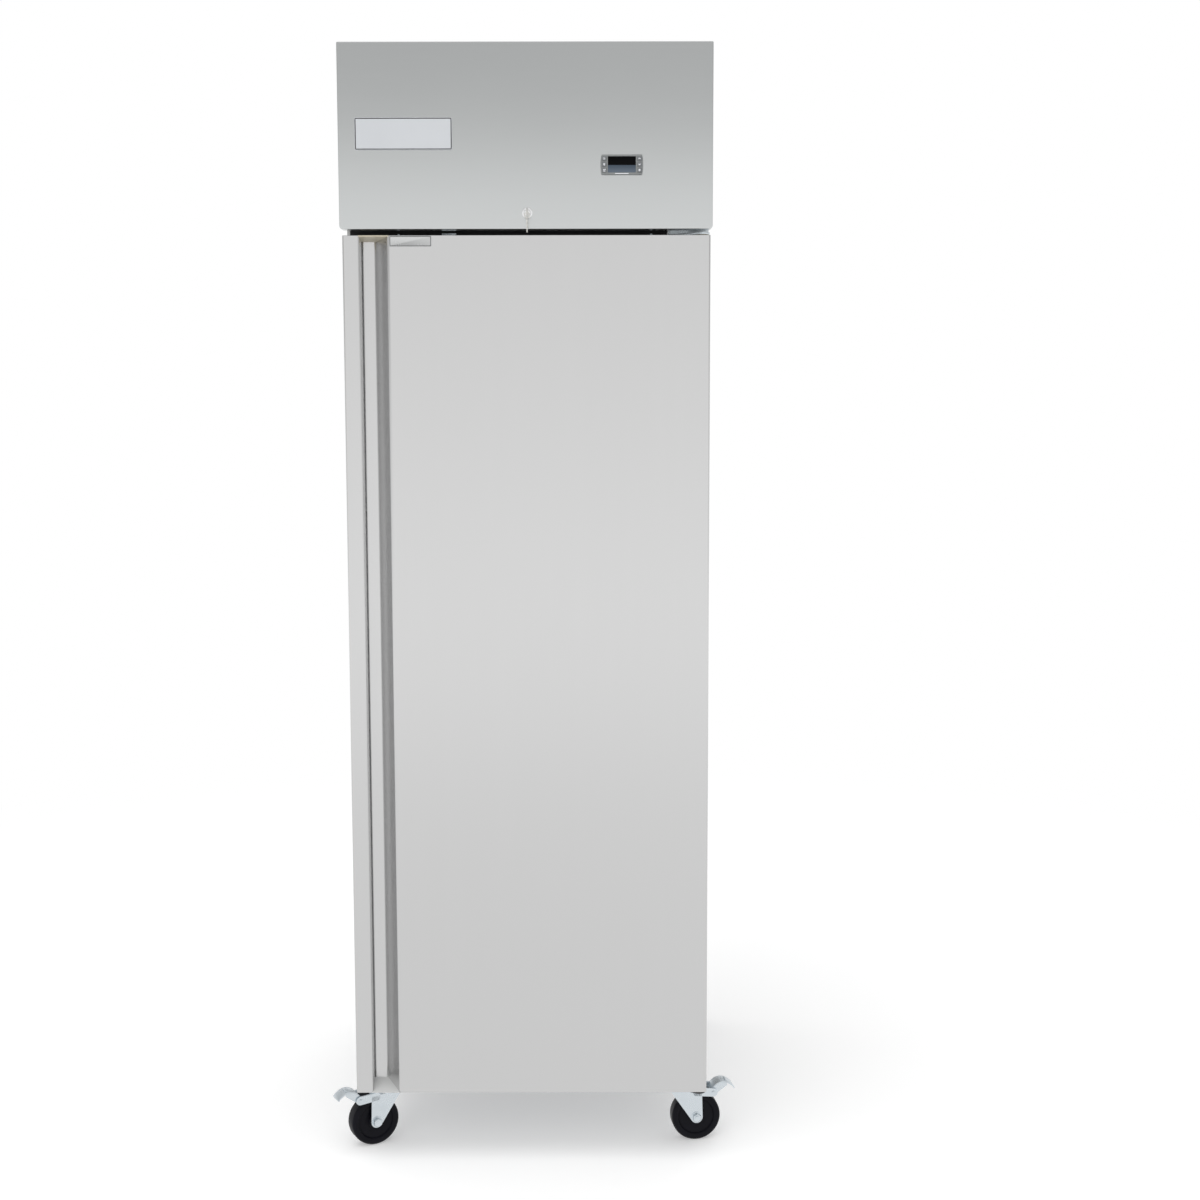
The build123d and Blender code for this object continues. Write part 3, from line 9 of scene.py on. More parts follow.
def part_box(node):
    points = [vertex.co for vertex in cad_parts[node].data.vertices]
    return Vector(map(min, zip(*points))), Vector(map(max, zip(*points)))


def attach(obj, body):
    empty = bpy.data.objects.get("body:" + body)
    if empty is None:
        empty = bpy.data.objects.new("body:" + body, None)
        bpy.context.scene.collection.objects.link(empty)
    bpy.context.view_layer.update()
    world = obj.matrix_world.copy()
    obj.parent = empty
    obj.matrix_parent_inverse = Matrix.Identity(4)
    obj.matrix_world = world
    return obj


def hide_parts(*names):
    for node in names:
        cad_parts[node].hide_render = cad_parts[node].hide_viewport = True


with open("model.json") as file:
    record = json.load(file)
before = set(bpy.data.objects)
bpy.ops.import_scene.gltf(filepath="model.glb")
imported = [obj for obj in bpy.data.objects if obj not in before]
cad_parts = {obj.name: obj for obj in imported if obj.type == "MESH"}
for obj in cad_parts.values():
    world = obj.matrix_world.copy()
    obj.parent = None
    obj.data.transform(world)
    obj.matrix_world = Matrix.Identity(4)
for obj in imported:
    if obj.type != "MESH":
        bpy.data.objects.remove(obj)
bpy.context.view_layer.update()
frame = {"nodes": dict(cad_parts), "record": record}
print("stage: frame loaded")


class Signal:
    # a socket that takes part in Python expressions
    def __init__(self, graph, socket):
        self.graph = graph
        self.socket = socket

    def maths(self, operation, other, reflected=False):
        values = (other, self) if reflected else (self, other)
        return self.graph.node("Math", {"operation": operation}, dict(enumerate(values)))

    def above(self, edge, soft=0.02):
        return self.graph.smoothStep(self, edge - soft, edge + soft)


def operatorFor(operation, reflected):
    return lambda self, other: self.maths(operation, other, reflected)


signs = {"add": "ADD", "sub": "SUBTRACT", "mul": "MULTIPLY", "truediv": "DIVIDE"}
for sign, operation in signs.items():
    setattr(Signal, f"__{sign}__", operatorFor(operation, False))
    setattr(Signal, f"__r{sign}__", operatorFor(operation, True))


def shade(value, colour=(1.0, 1.0, 1.0)):
    # a colour made darker or lighter, or a plain grey
    return tuple(value * part for part in colour)


class Graph:
    # one material or world, made node by node
    def __init__(self, tree):
        self.tree = tree
        self.tree.nodes.clear()

    def node(self, kind, settings=None, inputs=None, output=0):
        made = self.tree.nodes.new("ShaderNode" + kind)
        for key, value in (settings or {}).items():
            setattr(made, key, value)
        for key, value in (inputs or {}).items():
            if value is None:
                continue
            if isinstance(value, Signal):
                self.tree.links.new(value.socket, made.inputs[key])
            elif made.inputs[key].type == "RGBA":
                made.inputs[key].default_value = (*value, 1.0)
            else:
                made.inputs[key].default_value = value
        return Signal(self, made.outputs[output]) if made.outputs else None

    def ramp(self, stops, factor):
        # greys at places from 0 to 1
        found = self.node("ValToRGB", inputs={"Fac": factor}, output="Color")
        elements = found.socket.node.color_ramp.elements
        while len(elements) < len(stops):
            elements.new(0.5)
        for element, (place, level) in zip(elements, stops):
            element.position = place
            element.color = (*shade(level), 1.0)
        return found

    def along(self, axis, kind="Object"):
        spot = self.node("TexCoord", output=kind)
        return self.node("SeparateXYZ", inputs={"Vector": spot}, output=axis)

    def place(self, scale=(1, 1, 1)):
        spot = self.node("TexCoord", output="Object")
        return self.node("Mapping", inputs={"Vector": spot, "Scale": scale})

    def noise(self, scale, stretch=(1, 1, 1), detail=2.0, rough=0.5):
        inputs = {"Vector": self.place(stretch), "Scale": scale}
        inputs.update({"Detail": detail, "Roughness": rough})
        return self.node("TexNoise", inputs=inputs, output="Fac")

    def smoothStep(self, value, low, high):
        inputs = {"Value": value, "From Min": low, "From Max": high}
        return self.node("MapRange", {"interpolation_type": "SMOOTHSTEP"}, inputs, "Result")

    def mix(self, factor, low, high):
        kind = {"data_type": "RGBA", "clamp_factor": True}
        return self.node("Mix", kind, {0: factor, 6: low, 7: high}, 2)

    def bump(self, height, distance, strength=1.0, under=None):
        inputs = {"Height": height, "Distance": distance, "Strength": strength, "Normal": under}
        return self.node("Bump", inputs=inputs, output="Normal")

    def emission(self, colour, strength=1.0):
        return self.node("Emission", inputs={"Color": colour, "Strength": strength})

    def blend(self, factor, low, high):
        return self.node("MixShader", inputs={0: factor, 1: low, 2: high})


finishes = {}


def finishMaker(write):
    # turns a function that gives tone, roughness and relief, and any further shader inputs,
    # into one that makes a named finish
    def make(name, *values, **settings):
        made = bpy.data.materials.new(name)
        made.use_nodes = True
        graph = Graph(made.node_tree)
        tone, rough, relief, *others = write(graph, *values, **settings)
        inputs = {"Base Color": tone, "Roughness": rough, "Normal": relief, **dict(others)}
        shader = graph.node("BsdfPrincipled", inputs=inputs)
        graph.node("OutputMaterial", inputs={"Surface": shader})
        finishes[name] = made

    return make


foldDeep = 0.015 ** 2  # square of the width over which the pocket's bend goes on


@finishMaker
def brushedSteel(
    g, along, level, rough, tint=(1.0, 1.0, 0.985), lines=700.0, streak=0.10, bow=None, fold=None
):
    # fine grain drawn along one axis, with faint broad cloudiness;
    # a bow is the sheet's slight bulge in height: (its middle's height, how round it is),
    # and a fold is the bend where the pocket's floor leaves the lip: (where it ends, how round)
    stretch = [1.0, 1.0, 1.0]
    stretch["xyz".index(along)] = 0.012
    grain = g.noise(lines, stretch, 3.0, 0.65)
    coarse = g.noise(lines / 7, stretch, 2.0)
    cloud = g.noise(2.6, (1, 1, 0.6), 3.0)
    tone = grain * streak + coarse * streak * 0.5 + cloud * 0.05
    dark, bright = shade(level - streak * 0.55, tint), shade(level + streak * 0.45, tint)
    bulge = None
    if bow:
        height = g.along("Z") - bow[0]
        bulge = g.bump(height * height * -bow[1], 1.0)
    if fold:
        into = (fold[0] - g.along("X")).maths("MAXIMUM", 0.0)
        bulge = g.bump((into * into).maths("MINIMUM", foldDeep) * fold[1], 1.0)
    return (
        g.mix(tone * (1 / (streak * 1.5 + 0.05)), dark, bright),
        rough + grain * 0.10 + cloud * 0.06 - 0.08,
        g.bump(grain, 0.00003, 0.3, bulge),
        ("Metallic", 1.0),
    )


@finishMaker
def rolledSheet(g, level=0.52, rough=0.42, tint=(0.97, 1.0, 1.03)):
    # zinc coat with faint spangle, as on back and base sheets
    sizes = {"Vector": g.place(), "Scale": 85.0, "Randomness": 1.0}
    cells = g.node("TexVoronoi", {"feature": "F1"}, sizes, "Color")
    flake = g.node("SeparateColor", inputs={"Color": cells}, output="Red")
    cloud = g.noise(14.0, detail=4.0)
    dark, bright = shade(level - 0.07, tint), shade(level + 0.07, tint)
    tone = g.mix(flake * 0.7 + cloud * 0.3, dark, bright)
    rough = rough + flake * 0.16 + cloud * 0.08 - 0.1
    return tone, rough, g.bump(cloud, 0.00008, 0.5), ("Metallic", 0.85)


@finishMaker
def zincPlate(g, level=0.84, rough=0.24, tint=(0.93, 1.0, 1.05)):
    # bright bluish plating on pressed and turned parts, duller in patches
    cloud = g.noise(55.0, detail=4.0)
    fine = g.noise(420.0, detail=3.0)
    patch = cloud.above(0.56, 0.12)
    dark, bright = shade(level - 0.04, tint), shade(level + 0.04, tint)
    tone = g.mix(cloud * 0.7 + fine * 0.3, dark, bright)
    rough = rough + patch * 0.14 + fine * 0.06
    return tone, rough, g.bump(fine, 0.00008, 0.4), ("Metallic", 1.0)


@finishMaker
def polished(g, colour, rough):
    # turned or drawn metal with hair lines
    cloud = g.noise(38.0, detail=3.0)
    hair = g.noise(900.0, (1, 1, 0.05), 2.0)
    tone = g.mix(cloud, shade(0.93, colour), colour)
    rough = rough + cloud * 0.08 + hair * 0.05
    return tone, rough, g.bump(hair, 0.00003, 0.3), ("Metallic", 1.0)


@finishMaker
def moulded(g, colour, rough):
    # moulded plastic: fine spark-eroded texture and slight colour drift
    grain = g.noise(900.0, detail=2.0)
    cloud = g.noise(9.0, detail=3.0)
    tone = g.mix(cloud, shade(0.94, colour), shade(1.06, colour))
    return tone, rough + grain * 0.12 + cloud * 0.06 - 0.08, g.bump(grain, 0.00008, 0.5)


@finishMaker
def painted(g, colour, rough, peel=0.00012):
    # sprayed or powder coat with orange peel
    skin = g.noise(240.0, detail=1.5)
    cloud = g.noise(6.0, detail=3.0)
    tone = g.mix(cloud, shade(0.93, colour), shade(1.04, colour))
    rough = rough + skin * 0.10 + cloud * 0.05 - 0.06
    return tone, rough, g.bump(skin, peel, 0.6), ("Coat Weight", 0.2)


@finishMaker
def rubberLike(g, colour, rough):
    # rubber with a dusty bloom in places
    grain = g.noise(650.0, detail=3.0)
    bloom = g.noise(26.0, detail=5.0).above(0.58, 0.14)
    dusty = tuple(part * 1.7 + 0.003 for part in colour)
    tone = g.mix(bloom * 0.5 + grain * 0.2, colour, dusty)
    rough = rough + bloom * 0.12 + grain * 0.08 - 0.05
    return tone, rough, g.bump(grain, 0.0001, 0.5), ("Specular IOR Level", 0.15)


@finishMaker
def blownFoam(g, colour):
    cells = g.noise(700.0, detail=3.0)
    cloud = g.noise(20.0, detail=4.0)
    tone = g.mix(cloud * 0.6 + cells * 0.4, shade(0.85, colour), colour)
    return tone, 0.85, g.bump(cells, 0.0004, 0.7)


@finishMaker
def tintedWindow(g, middle, half):
    # smoked lens over the display: black above, and a blue-grey field that pales downwards
    dust = g.noise(60.0, detail=3.0)
    height = (g.along("Z") - (middle - half)) / (2 * half)
    lower = 1 - height.above(0.46, 0.012)
    field = g.mix(1 - height * 2, (0.055, 0.075, 0.100), (0.135, 0.165, 0.205))
    tone = g.mix(lower, (0.001, 0.001, 0.0015), field)
    return tone, 0.10 + dust * 0.06, None, ("Specular IOR Level", 0.08)


white, nearWhite = (1.0, 1.0, 1.0), (0.99, 1.0, 1.0)
brushedSteel("doorSteel", "z", 0.74, 0.24, white, streak=0.05, fold=(-0.293, 20.0))
brushedSteel("coverSteel", "x", 0.74, 0.22, (0.975, 1.0, 1.0), streak=0.05, bow=(1.815, 0.180))
brushedSteel("sideSteel", "z", 0.57, 0.33)
brushedSteel("linerSteel", "z", 0.62, 0.36, nearWhite, 420.0, 0.06)
brushedSteel("doorLinerSteel", "z", 0.60, 0.38, nearWhite, 420.0, 0.05)
rolledSheet("sheet")
zincPlate("zinc")
polished("chrome", (0.97, 0.975, 0.98), 0.12)
polished("nickel", (0.88, 0.87, 0.83), 0.20)
polished("copper", (0.72, 0.36, 0.22), 0.24)
polished("finMetal", (0.70, 0.71, 0.72), 0.30)
polished("brightTag", (0.70, 0.71, 0.71), 0.20)
painted("whiteCoat", (0.78, 0.79, 0.78), 0.36)
painted("shelfCoat", (0.74, 0.75, 0.74), 0.30, 0.0001)
painted("blackEnamel", (0.018, 0.018, 0.020), 0.30)
painted("badgeField", (0.60, 0.62, 0.645), 0.42, 0.00003)
moulded("greyPlastic", (0.235, 0.245, 0.245), 0.46)
moulded("creamPlastic", (0.66, 0.60, 0.47), 0.45)
moulded("palePlastic", (0.62, 0.64, 0.66), 0.42)
moulded("buttonPlastic", (0.19, 0.20, 0.21), 0.46)
moulded("blackPlastic", (0.022, 0.022, 0.024), 0.40)
moulded("darkLine", (0.022, 0.022, 0.026), 0.6)
moulded("palePrint", (0.86, 0.88, 0.90), 0.5)
moulded("greyCap", (0.66, 0.665, 0.66), 0.42)
rubberLike("gasketRubber", (0.20, 0.205, 0.21), 0.60)
rubberLike("wheelRubber", (0.0035, 0.0035, 0.0065), 0.40)
blownFoam("foam", (0.78, 0.68, 0.42))
# painted shade: the black of the strip put in the gap over the door
blownFoam("blackFoam", (0.016, 0.016, 0.017))
tintedWindow("window", 1.902, 0.0145)

# finishes of the CAD nodes that show as they are
nodeFinish = {
    "roof_panel": "sideSteel", "inner_liner": "linerSteel", "back_panel": "sheet",
    "bottom_panel": "sheet", "foam_insulation": "foam", "door_foam": "foam",
    "shelf_pilasters": "zinc", "refrigerant_lines": "copper",
}
for node, finish in nodeFinish.items():
    mesh = frame["nodes"][node].data
    mesh.materials.clear()
    mesh.materials.append(finishes[finish])
print("stage: finishes set")

bodies = frame["record"]["behaviour"]["bodies"]
bodyOf = {node: body for body, nodes in bodies.items() for node in nodes}


# modelling helpers, in metres
def near(one, other, reach=1e-5):
    return abs(one - other) < reach


def at(spot, degrees=0, axis="X"):
    # matrix that turns a part about an axis and then moves it
    return Matrix.Translation(spot) @ Matrix.Rotation(math.radians(degrees), 4, axis)


def standing(spot, direction):
    # matrix that stands a part's Z axis along a direction
    turn = Vector(direction).to_track_quat("Z", "Y").to_matrix().to_4x4()
    return Matrix.Translation(spot) @ turn


def moved(shape, place):
    bmesh.ops.transform(shape, matrix=place, verts=shape.verts)
    return shape


def join(shape, part, place=None):
    # adds a part to a shape, moved by a matrix
    if place is not None:
        moved(part, place)
    bits = bpy.data.meshes.new("bits")
    part.to_mesh(bits)
    part.free()
    shape.from_mesh(bits)
    bpy.data.meshes.remove(bits)
    return shape


def joinRound(shape, count, build):
    # copies of a part, turned in steps about the Z axis
    for index in range(count):
        join(shape, build(), Matrix.Rotation(math.tau * index / count, 4, "Z"))
    return shape


def edgesWhere(shape, test):
    return [edge for edge in shape.edges if test(edge.verts[0].co, edge.verts[1].co)]


def edgesAt(shape, axis, value, test=lambda a, b: True):
    # edges that lie whole at one value of an axis
    index = "xyz".index(axis)
    return edgesWhere(
        shape, lambda a, b: near(a[index], value) and near(b[index], value) and test(a, b)
    )


def fourRound(x, y, spreadX, spreadY):
    sides = (-1, 1)
    return [(x + out * spreadX, y + side * spreadY) for out in sides for side in sides]


def upEdges(shape):
    return edgesWhere(shape, lambda a, b: not near(a.z, b.z))


def roundOff(shape, geometry, width, segments=3, affect="EDGES"):
    bmesh.ops.bevel(
        shape, geom=geometry, offset=width, offset_type="OFFSET", affect=affect, segments=segments,
        profile=0.5, material=-1, clamp_overlap=affect == "EDGES",
    )


def soften(shape, width, segments=2, sharp=40):
    # small round on every edge that is sharper than the angle
    limit = math.radians(sharp)
    edges = [e for e in shape.edges if len(e.link_faces) == 2 and e.calc_face_angle(0.0) > limit]
    roundOff(shape, edges, width, segments)
    return shape


def slab(shape, low, high):
    # box between two corners
    low, high = Vector(low), Vector(high)
    made = bmesh.ops.create_cube(shape, size=1.0)["verts"]
    bmesh.ops.scale(shape, vec=high - low, verts=made)
    bmesh.ops.translate(shape, vec=(low + high) / 2, verts=made)


def block(low, high, width=0.0, segments=2, sharp=60):
    # box as a shape of its own, with soft edges where a width is given
    shape = bmesh.new()
    slab(shape, low, high)
    return soften(shape, width, segments, sharp) if width else shape


def cone(shape, radius, tip, depth, sides, place):
    bmesh.ops.create_cone(
        shape, cap_ends=True, segments=sides, radius1=radius, radius2=tip, depth=depth, matrix=place
    )


def bar(shape, start, end, radius, sides=12):
    # round bar between two points
    start, end = Vector(start), Vector(end)
    way = end - start
    cone(shape, radius, radius, way.length, sides, standing((start + end) / 2, way))


def disc(shape, spot, radius, segments):
    # flat round rim that faces along Y
    bmesh.ops.create_circle(shape, segments=segments, radius=radius, matrix=at(spot, 90))


def turned(outline, steps=32):
    # outline of (radius, height) spun about Z, with its poles closed
    shape = bmesh.new()
    points = [shape.verts.new((radius, 0, height)) for radius, height in outline]
    edges = [shape.edges.new(pair) for pair in zip(points, points[1:])]
    bmesh.ops.spin(
        shape, geom=points + edges, cent=(0, 0, 0), axis=(0, 0, 1), angle=math.tau, steps=steps,
        use_merge=True,
    )
    bmesh.ops.remove_doubles(shape, verts=shape.verts, dist=1e-6)
    bmesh.ops.recalc_face_normals(shape, faces=shape.faces)
    return shape


def only(kind, geometry):
    return [part for part in geometry if isinstance(part, kind)]


def extrude(shape, geometry, way, edges=False):
    # draws faces out, or edges into a strip
    if edges:
        made = bmesh.ops.extrude_edge_only(shape, edges=geometry)["geom"]
    else:
        made = bmesh.ops.extrude_face_region(shape, geom=geometry)["geom"]
    bmesh.ops.translate(shape, vec=way, verts=only(bmesh.types.BMVert, made))
    bmesh.ops.recalc_face_normals(shape, faces=shape.faces)


def thicken(shape, sheet):
    bmesh.ops.solidify(shape, geom=shape.faces[:], thickness=sheet)
    bmesh.ops.recalc_face_normals(shape, faces=shape.faces)


def dissolveFlat(shape, degrees):
    limit = math.radians(degrees)
    bmesh.ops.dissolve_limit(shape, angle_limit=limit, verts=shape.verts, edges=shape.edges)


def hullOf(shape):
    # convex skin round everything in the shape
    made = bmesh.ops.convex_hull(shape, input=shape.verts)
    spare = set(only(bmesh.types.BMVert, made["geom_interior"] + made["geom_unused"]))
    bmesh.ops.delete(shape, geom=list(spare), context="VERTS")
    dissolveFlat(shape, 1)
    bmesh.ops.recalc_face_normals(shape, faces=shape.faces)


def cutAcross(shape, spot, normal, faces=None):
    # new edges wherever a plane crosses the shape, or only some of its faces
    shape.normal_update()
    faces = faces or shape.faces[:]
    crossed = set(faces)
    for face in faces:
        crossed.update(face.edges, face.verts)
    bmesh.ops.bisect_plane(
        shape, geom=list(crossed), dist=1e-6, plane_co=spot, plane_no=normal
    )


def shave(shape, spot, normal):
    # cuts away what lies beyond a plane and closes the cut
    cut = bmesh.ops.bisect_plane(
        shape, geom=shape.verts[:] + shape.edges[:] + shape.faces[:], dist=1e-6, plane_co=spot,
        plane_no=normal, clear_outer=True,
    )
    bmesh.ops.holes_fill(shape, edges=only(bmesh.types.BMEdge, cut["geom_cut"]), sides=0)
    bmesh.ops.recalc_face_normals(shape, faces=shape.faces)


def dropFaces(shape, unwanted):
    # removes the faces whose middle and normal pass the test
    shape.normal_update()
    doomed = [face for face in shape.faces if unwanted(face.calc_center_median(), face.normal)]
    bmesh.ops.delete(shape, geom=doomed, context="FACES")


def plate(low, high, corner, edge):
    # thin plate that faces -Y, with round corners and a soft front edge
    shape = block(low, high)
    roundOff(shape, edgesWhere(shape, lambda a, b: not near(a.y, b.y)), corner, 5)
    roundOff(shape, edgesAt(shape, "y", min(low[1], high[1])), edge)
    return shape


arcPull = 0.448  # how far a corner's handles reach back, to follow a quarter circle


def bentWire(shape, points, radius, bend, closed=False, sides=8):
    # round wire through the points with arcs at its corners
    curve = bpy.data.curves.new("wire", "CURVE")
    curve.dimensions = "3D"
    curve.bevel_depth = radius
    curve.bevel_resolution = max(0, sides // 4 - 1)
    curve.resolution_u = 5
    curve.use_fill_caps = not closed
    points = [Vector(point) for point in points]
    knots = []
    for index, point in enumerate(points):
        if not closed and index in (0, len(points) - 1):
            knots.append((point, point, point))
            continue
        inward = (points[index - 1] - point).normalized() * bend
        outward = (points[(index + 1) % len(points)] - point).normalized() * bend
        knots.append((point + inward, point + inward, point + inward * arcPull))
        knots.append((point + outward, point + outward * arcPull, point + outward))
    spline = curve.splines.new("BEZIER")
    spline.bezier_points.add(len(knots) - 1)
    for knot, (spot, left, right) in zip(spline.bezier_points, knots):
        knot.handle_left_type = knot.handle_right_type = "FREE"
        knot.co, knot.handle_left, knot.handle_right = spot, left, right
    spline.use_cyclic_u = closed
    holder = bpy.data.objects.new("wire", curve)
    bits = bpy.data.meshes.new_from_object(holder)
    shape.from_mesh(bits)
    bpy.data.objects.remove(holder)
    bpy.data.meshes.remove(bits)
    bpy.data.curves.remove(curve)


flatOver = 0.004  # a face larger than this is flat sheet


def planeOf(face):
    # tells which plane a face lies in
    return tuple(round(part, 3) for part in (*face.normal, face.normal.dot(face.center)))


def makePiece(name, shape, finish, node=None, body="cabinet", smooth=35, wall=None):
    # puts a finished shape in the scene: in place of a CAD node, or as a detail on a body
    mesh = bpy.data.meshes.new(name)
    shape.to_mesh(mesh)
    shape.free()
    for part in (finish,) if isinstance(finish, str) else finish:
        mesh.materials.append(finishes[part])
    mesh.shade_smooth()
    mesh.set_sharp_from_angle(angle=math.radians(smooth))
    sheets = {planeOf(face) for face in mesh.polygons if face.area > flatOver}
    for face in mesh.polygons:
        face.use_smooth = planeOf(face) not in sheets
    piece = bpy.data.objects.new(name, mesh)
    bpy.context.scene.collection.objects.link(piece)
    if wall is not None:
        thick = piece.modifiers.new("wall", "SOLIDIFY")
        thick.thickness, thick.offset, thick.use_even_offset = wall, -1.0, True
    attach(piece, bodyOf[node] if node else body)
    if node:
        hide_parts(node)


def cadCopy(node, keep=lambda z: True):
    # merged copy of a CAD node, or of a part of it
    shape = bmesh.new()
    shape.from_mesh(frame["nodes"][node].data)
    bmesh.ops.delete(shape, geom=[v for v in shape.verts if not keep(v.co.z)], context="VERTS")
    bmesh.ops.remove_doubles(shape, verts=shape.verts, dist=2e-5)
    dissolveFlat(shape, 0.8)
    return shape


def softened(node, width, finish, segments=2, sharp=40):
    # a CAD node with small rounds on its edges
    makePiece(node + "_piece", soften(cadCopy(node), width, segments, sharp), finish, node)


def domed(radius, rise, *shares):
    # a head's outline, from shares of its radius and rise
    steps = ((0, 1), *shares, (1, 0), (0, 0))
    return [(radius * out, rise * up) for out, up in steps]


def screwHead(shape, spot, direction, radius, rise):
    # pan head with a cross recess, standing on a surface
    part = turned(domed(radius, rise, (0.55, 0.97), (0.9, 0.6)), 14)
    for turn in (0, 90):
        arm = Vector((radius * 0.62, radius * 0.09, rise * 1.04))
        join(part, block((-arm.x, -arm.y, rise * 0.92), arm), at((0, 0, 0), turn, "Z"))
    join(shape, part, standing(spot, direction))


def hexHead(shape, spot, direction, across, rise, washer=0.0):
    # hexagon head or nut with chamfered corners, on an optional washer
    part = bmesh.new()
    corner = across / math.sqrt(3)
    cone(part, corner, corner, rise, 6, at((0, 0, rise / 2 + washer)))
    soften(part, across * 0.045, 1)
    if washer:
        bar(part, (0, 0, 0), (0, 0, washer), across * 0.72, 20)
    join(shape, part, standing(spot, direction))


# front cover: one folded sheet with soft folds, open at the back
cover = {
    "sheet": 0.0012, "fold": 0.0018, "bottomCorner": 0.006, "topCorner": 0.002,
    "topReturn": -0.298, "bottomReturn": -0.355, "notchTop": 1.8195,
    "rivet": 0.0064, "rivetRise": 0.0015, "pin": 0.0039, "pinReach": 0.011,
    "pivot": (-0.290, 2.100),
}
coverLow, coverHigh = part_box("cover_panel")
coverSide = coverHigh.x - cover["rivetRise"]


def coverShell():
    topReturn, bottomReturn, notchTop = cover["topReturn"], cover["bottomReturn"], cover["notchTop"]
    shape = block((-coverSide, coverLow.y, coverLow.z), (coverSide, coverHigh.y, coverHigh.z))
    for height, width in ((coverLow.z, cover["bottomCorner"]), (coverHigh.z, cover["topCorner"])):
        corners = edgesAt(shape, "z", height, lambda a, b: not near(a.y, b.y))
        roundOff(shape, corners, width, 5)
    roundOff(shape, edgesAt(shape, "y", coverLow.y), cover["fold"], 4)
    cutAcross(shape, (0, topReturn, 0), (0, 1, 0))
    cutAcross(shape, (0, bottomReturn, 0), (0, 1, 0))
    cutAcross(shape, (0, 0, notchTop), (0, 0, 1))
    dropFaces(shape, lambda spot, normal: normal.y > 0.9)
    dropFaces(shape, lambda spot, normal: normal.z > 0.9 and spot.y > topReturn)
    dropFaces(shape, lambda spot, normal: spot.z < notchTop and spot.y > bottomReturn)
    return shape


def rivetHead():
    outline = domed(cover["rivet"], cover["rivetRise"], (0.6, 0.9), (0.92, 0.45))
    head = turned(outline, 24)
    bar(head, (0, 0, 0), (0, 0, -cover["pinReach"]), cover["pin"], 24)
    return head


makePiece("cover_shell", coverShell(), "coverSteel", "cover_panel", wall=cover["sheet"])
rivets = bmesh.new()
for side in (-1, 1):
    join(rivets, rivetHead(), at((side * coverSide, *cover["pivot"]), side * 90, "Y"))
makePiece("cover_rivets", rivets, "zinc", body="cover")

# bare plates on the cover and the door: a plain field inside a dark line and a bright rim
badge = {"corner": 0.003, "edge": 0.0004, "rim": 0.0003, "line": 0.0017, "sunk": 0.0003}
tag = {"corner": 0.002, "edge": 0.0004, "rim": 0.0006, "line": 0.0010, "sunk": 0.0002}


def linedPlate(node, sizes):
    shape = plate(*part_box(node), sizes["corner"], sizes["edge"])
    shape.normal_update()
    field = [face for face in shape.faces if face.normal.y < -0.99 and face.calc_area() > 0.0008]
    for width, sunk in ((sizes["rim"], 0.0), (sizes["line"], sizes["sunk"])):
        line = bmesh.ops.inset_region(
            shape, faces=field, thickness=width, depth=-sunk, use_even_offset=True
        )
    for face in line["faces"]:
        face.material_index = 1
    return shape


makePiece("bare_badge", linedPlate("nameplate", badge), ("badgeField", "darkLine"), "nameplate")
makePiece("bare_tag", linedPlate("door_tag", tag), ("brightTag", "darkLine"), "door_tag")

# controller: bulged bezel, smoked window, six icon buttons
control = {
    "bezelEdge": 0.0007, "windowCorner": 0.0016, "windowEdge": 0.0004,
    "buttonCorner": 0.0013, "buttonEdge": 0.0003,
    "iconRise": 0.00012, "iconWire": 0.00045, "iconSize": 0.34, "barSize": (0.025, 0.0013),
}
softened("control_bezel", control["bezelEdge"], "greyPlastic")
windowLow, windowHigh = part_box("display_window")
window = plate(windowLow, windowHigh, control["windowCorner"], control["windowEdge"])
makePiece("smoked_window", window, "window", "display_window")
bezelLow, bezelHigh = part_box("control_bezel")
barMiddle = Vector(
    ((bezelLow.x + bezelHigh.x) / 2, bezelLow.y, (bezelLow.z + windowLow.z) / 2)
)
barHalf = Vector((control["barSize"][0] / 2, control["iconRise"], control["barSize"][1] / 2))
printed = block(barMiddle - barHalf, barMiddle + barHalf)
makePiece("printed_bar", printed, "palePrint", body="cover")


def stroke(shape, start, end, width):
    # flat printed line from one point of the icon to another
    start, end = Vector((start[0], 0, start[1])), Vector((end[0], 0, end[1]))
    way = end - start
    half = Vector((way.length / 2, control["iconRise"], width))
    turn = Matrix.Rotation(-math.atan2(way.z, way.x), 4, "Y")
    join(shape, block(-half, half), Matrix.Translation((start + end) / 2) @ turn)


def ringStroke(shape, height, radius, width):
    # flat printed ring
    rise, inner = control["iconRise"], radius - 2 * width
    outline = [(radius, rise), (radius, -rise), (inner, -rise), (inner, rise), (radius, rise)]
    join(shape, turned(outline, 20), at((0, 0, height), 90))


def snowLines():
    # three bars with a pair of twigs near each end
    lines = []
    for degrees in (90, 150, 210):
        way = Vector((math.cos(math.radians(degrees)), math.sin(math.radians(degrees))))
        lines.append((-way, way, 1.0))
        for end in (-1, 1):
            for lean in (-40, 40):
                twig = Matrix.Rotation(math.radians(lean), 2) @ way * 0.38 * end
                lines.append((way * 0.62 * end, way * 0.62 * end + twig, 0.8))
    return lines


def defrostLines():
    # three bent plumes over a bar
    lines = []
    for x in (-0.6, 0.0, 0.6):
        lines += [((x, 0.8), (x + 0.18, 0.3), 1.0), ((x + 0.18, 0.3), (x, -0.2), 1.0)]
    return lines + [((-0.8, -0.75), (0.8, -0.75), 1.0)]


def arrowLines(way):
    return [((side * 0.75, -way * 0.35), (0, way * 0.45), 1.0) for side in (-1, 1)]


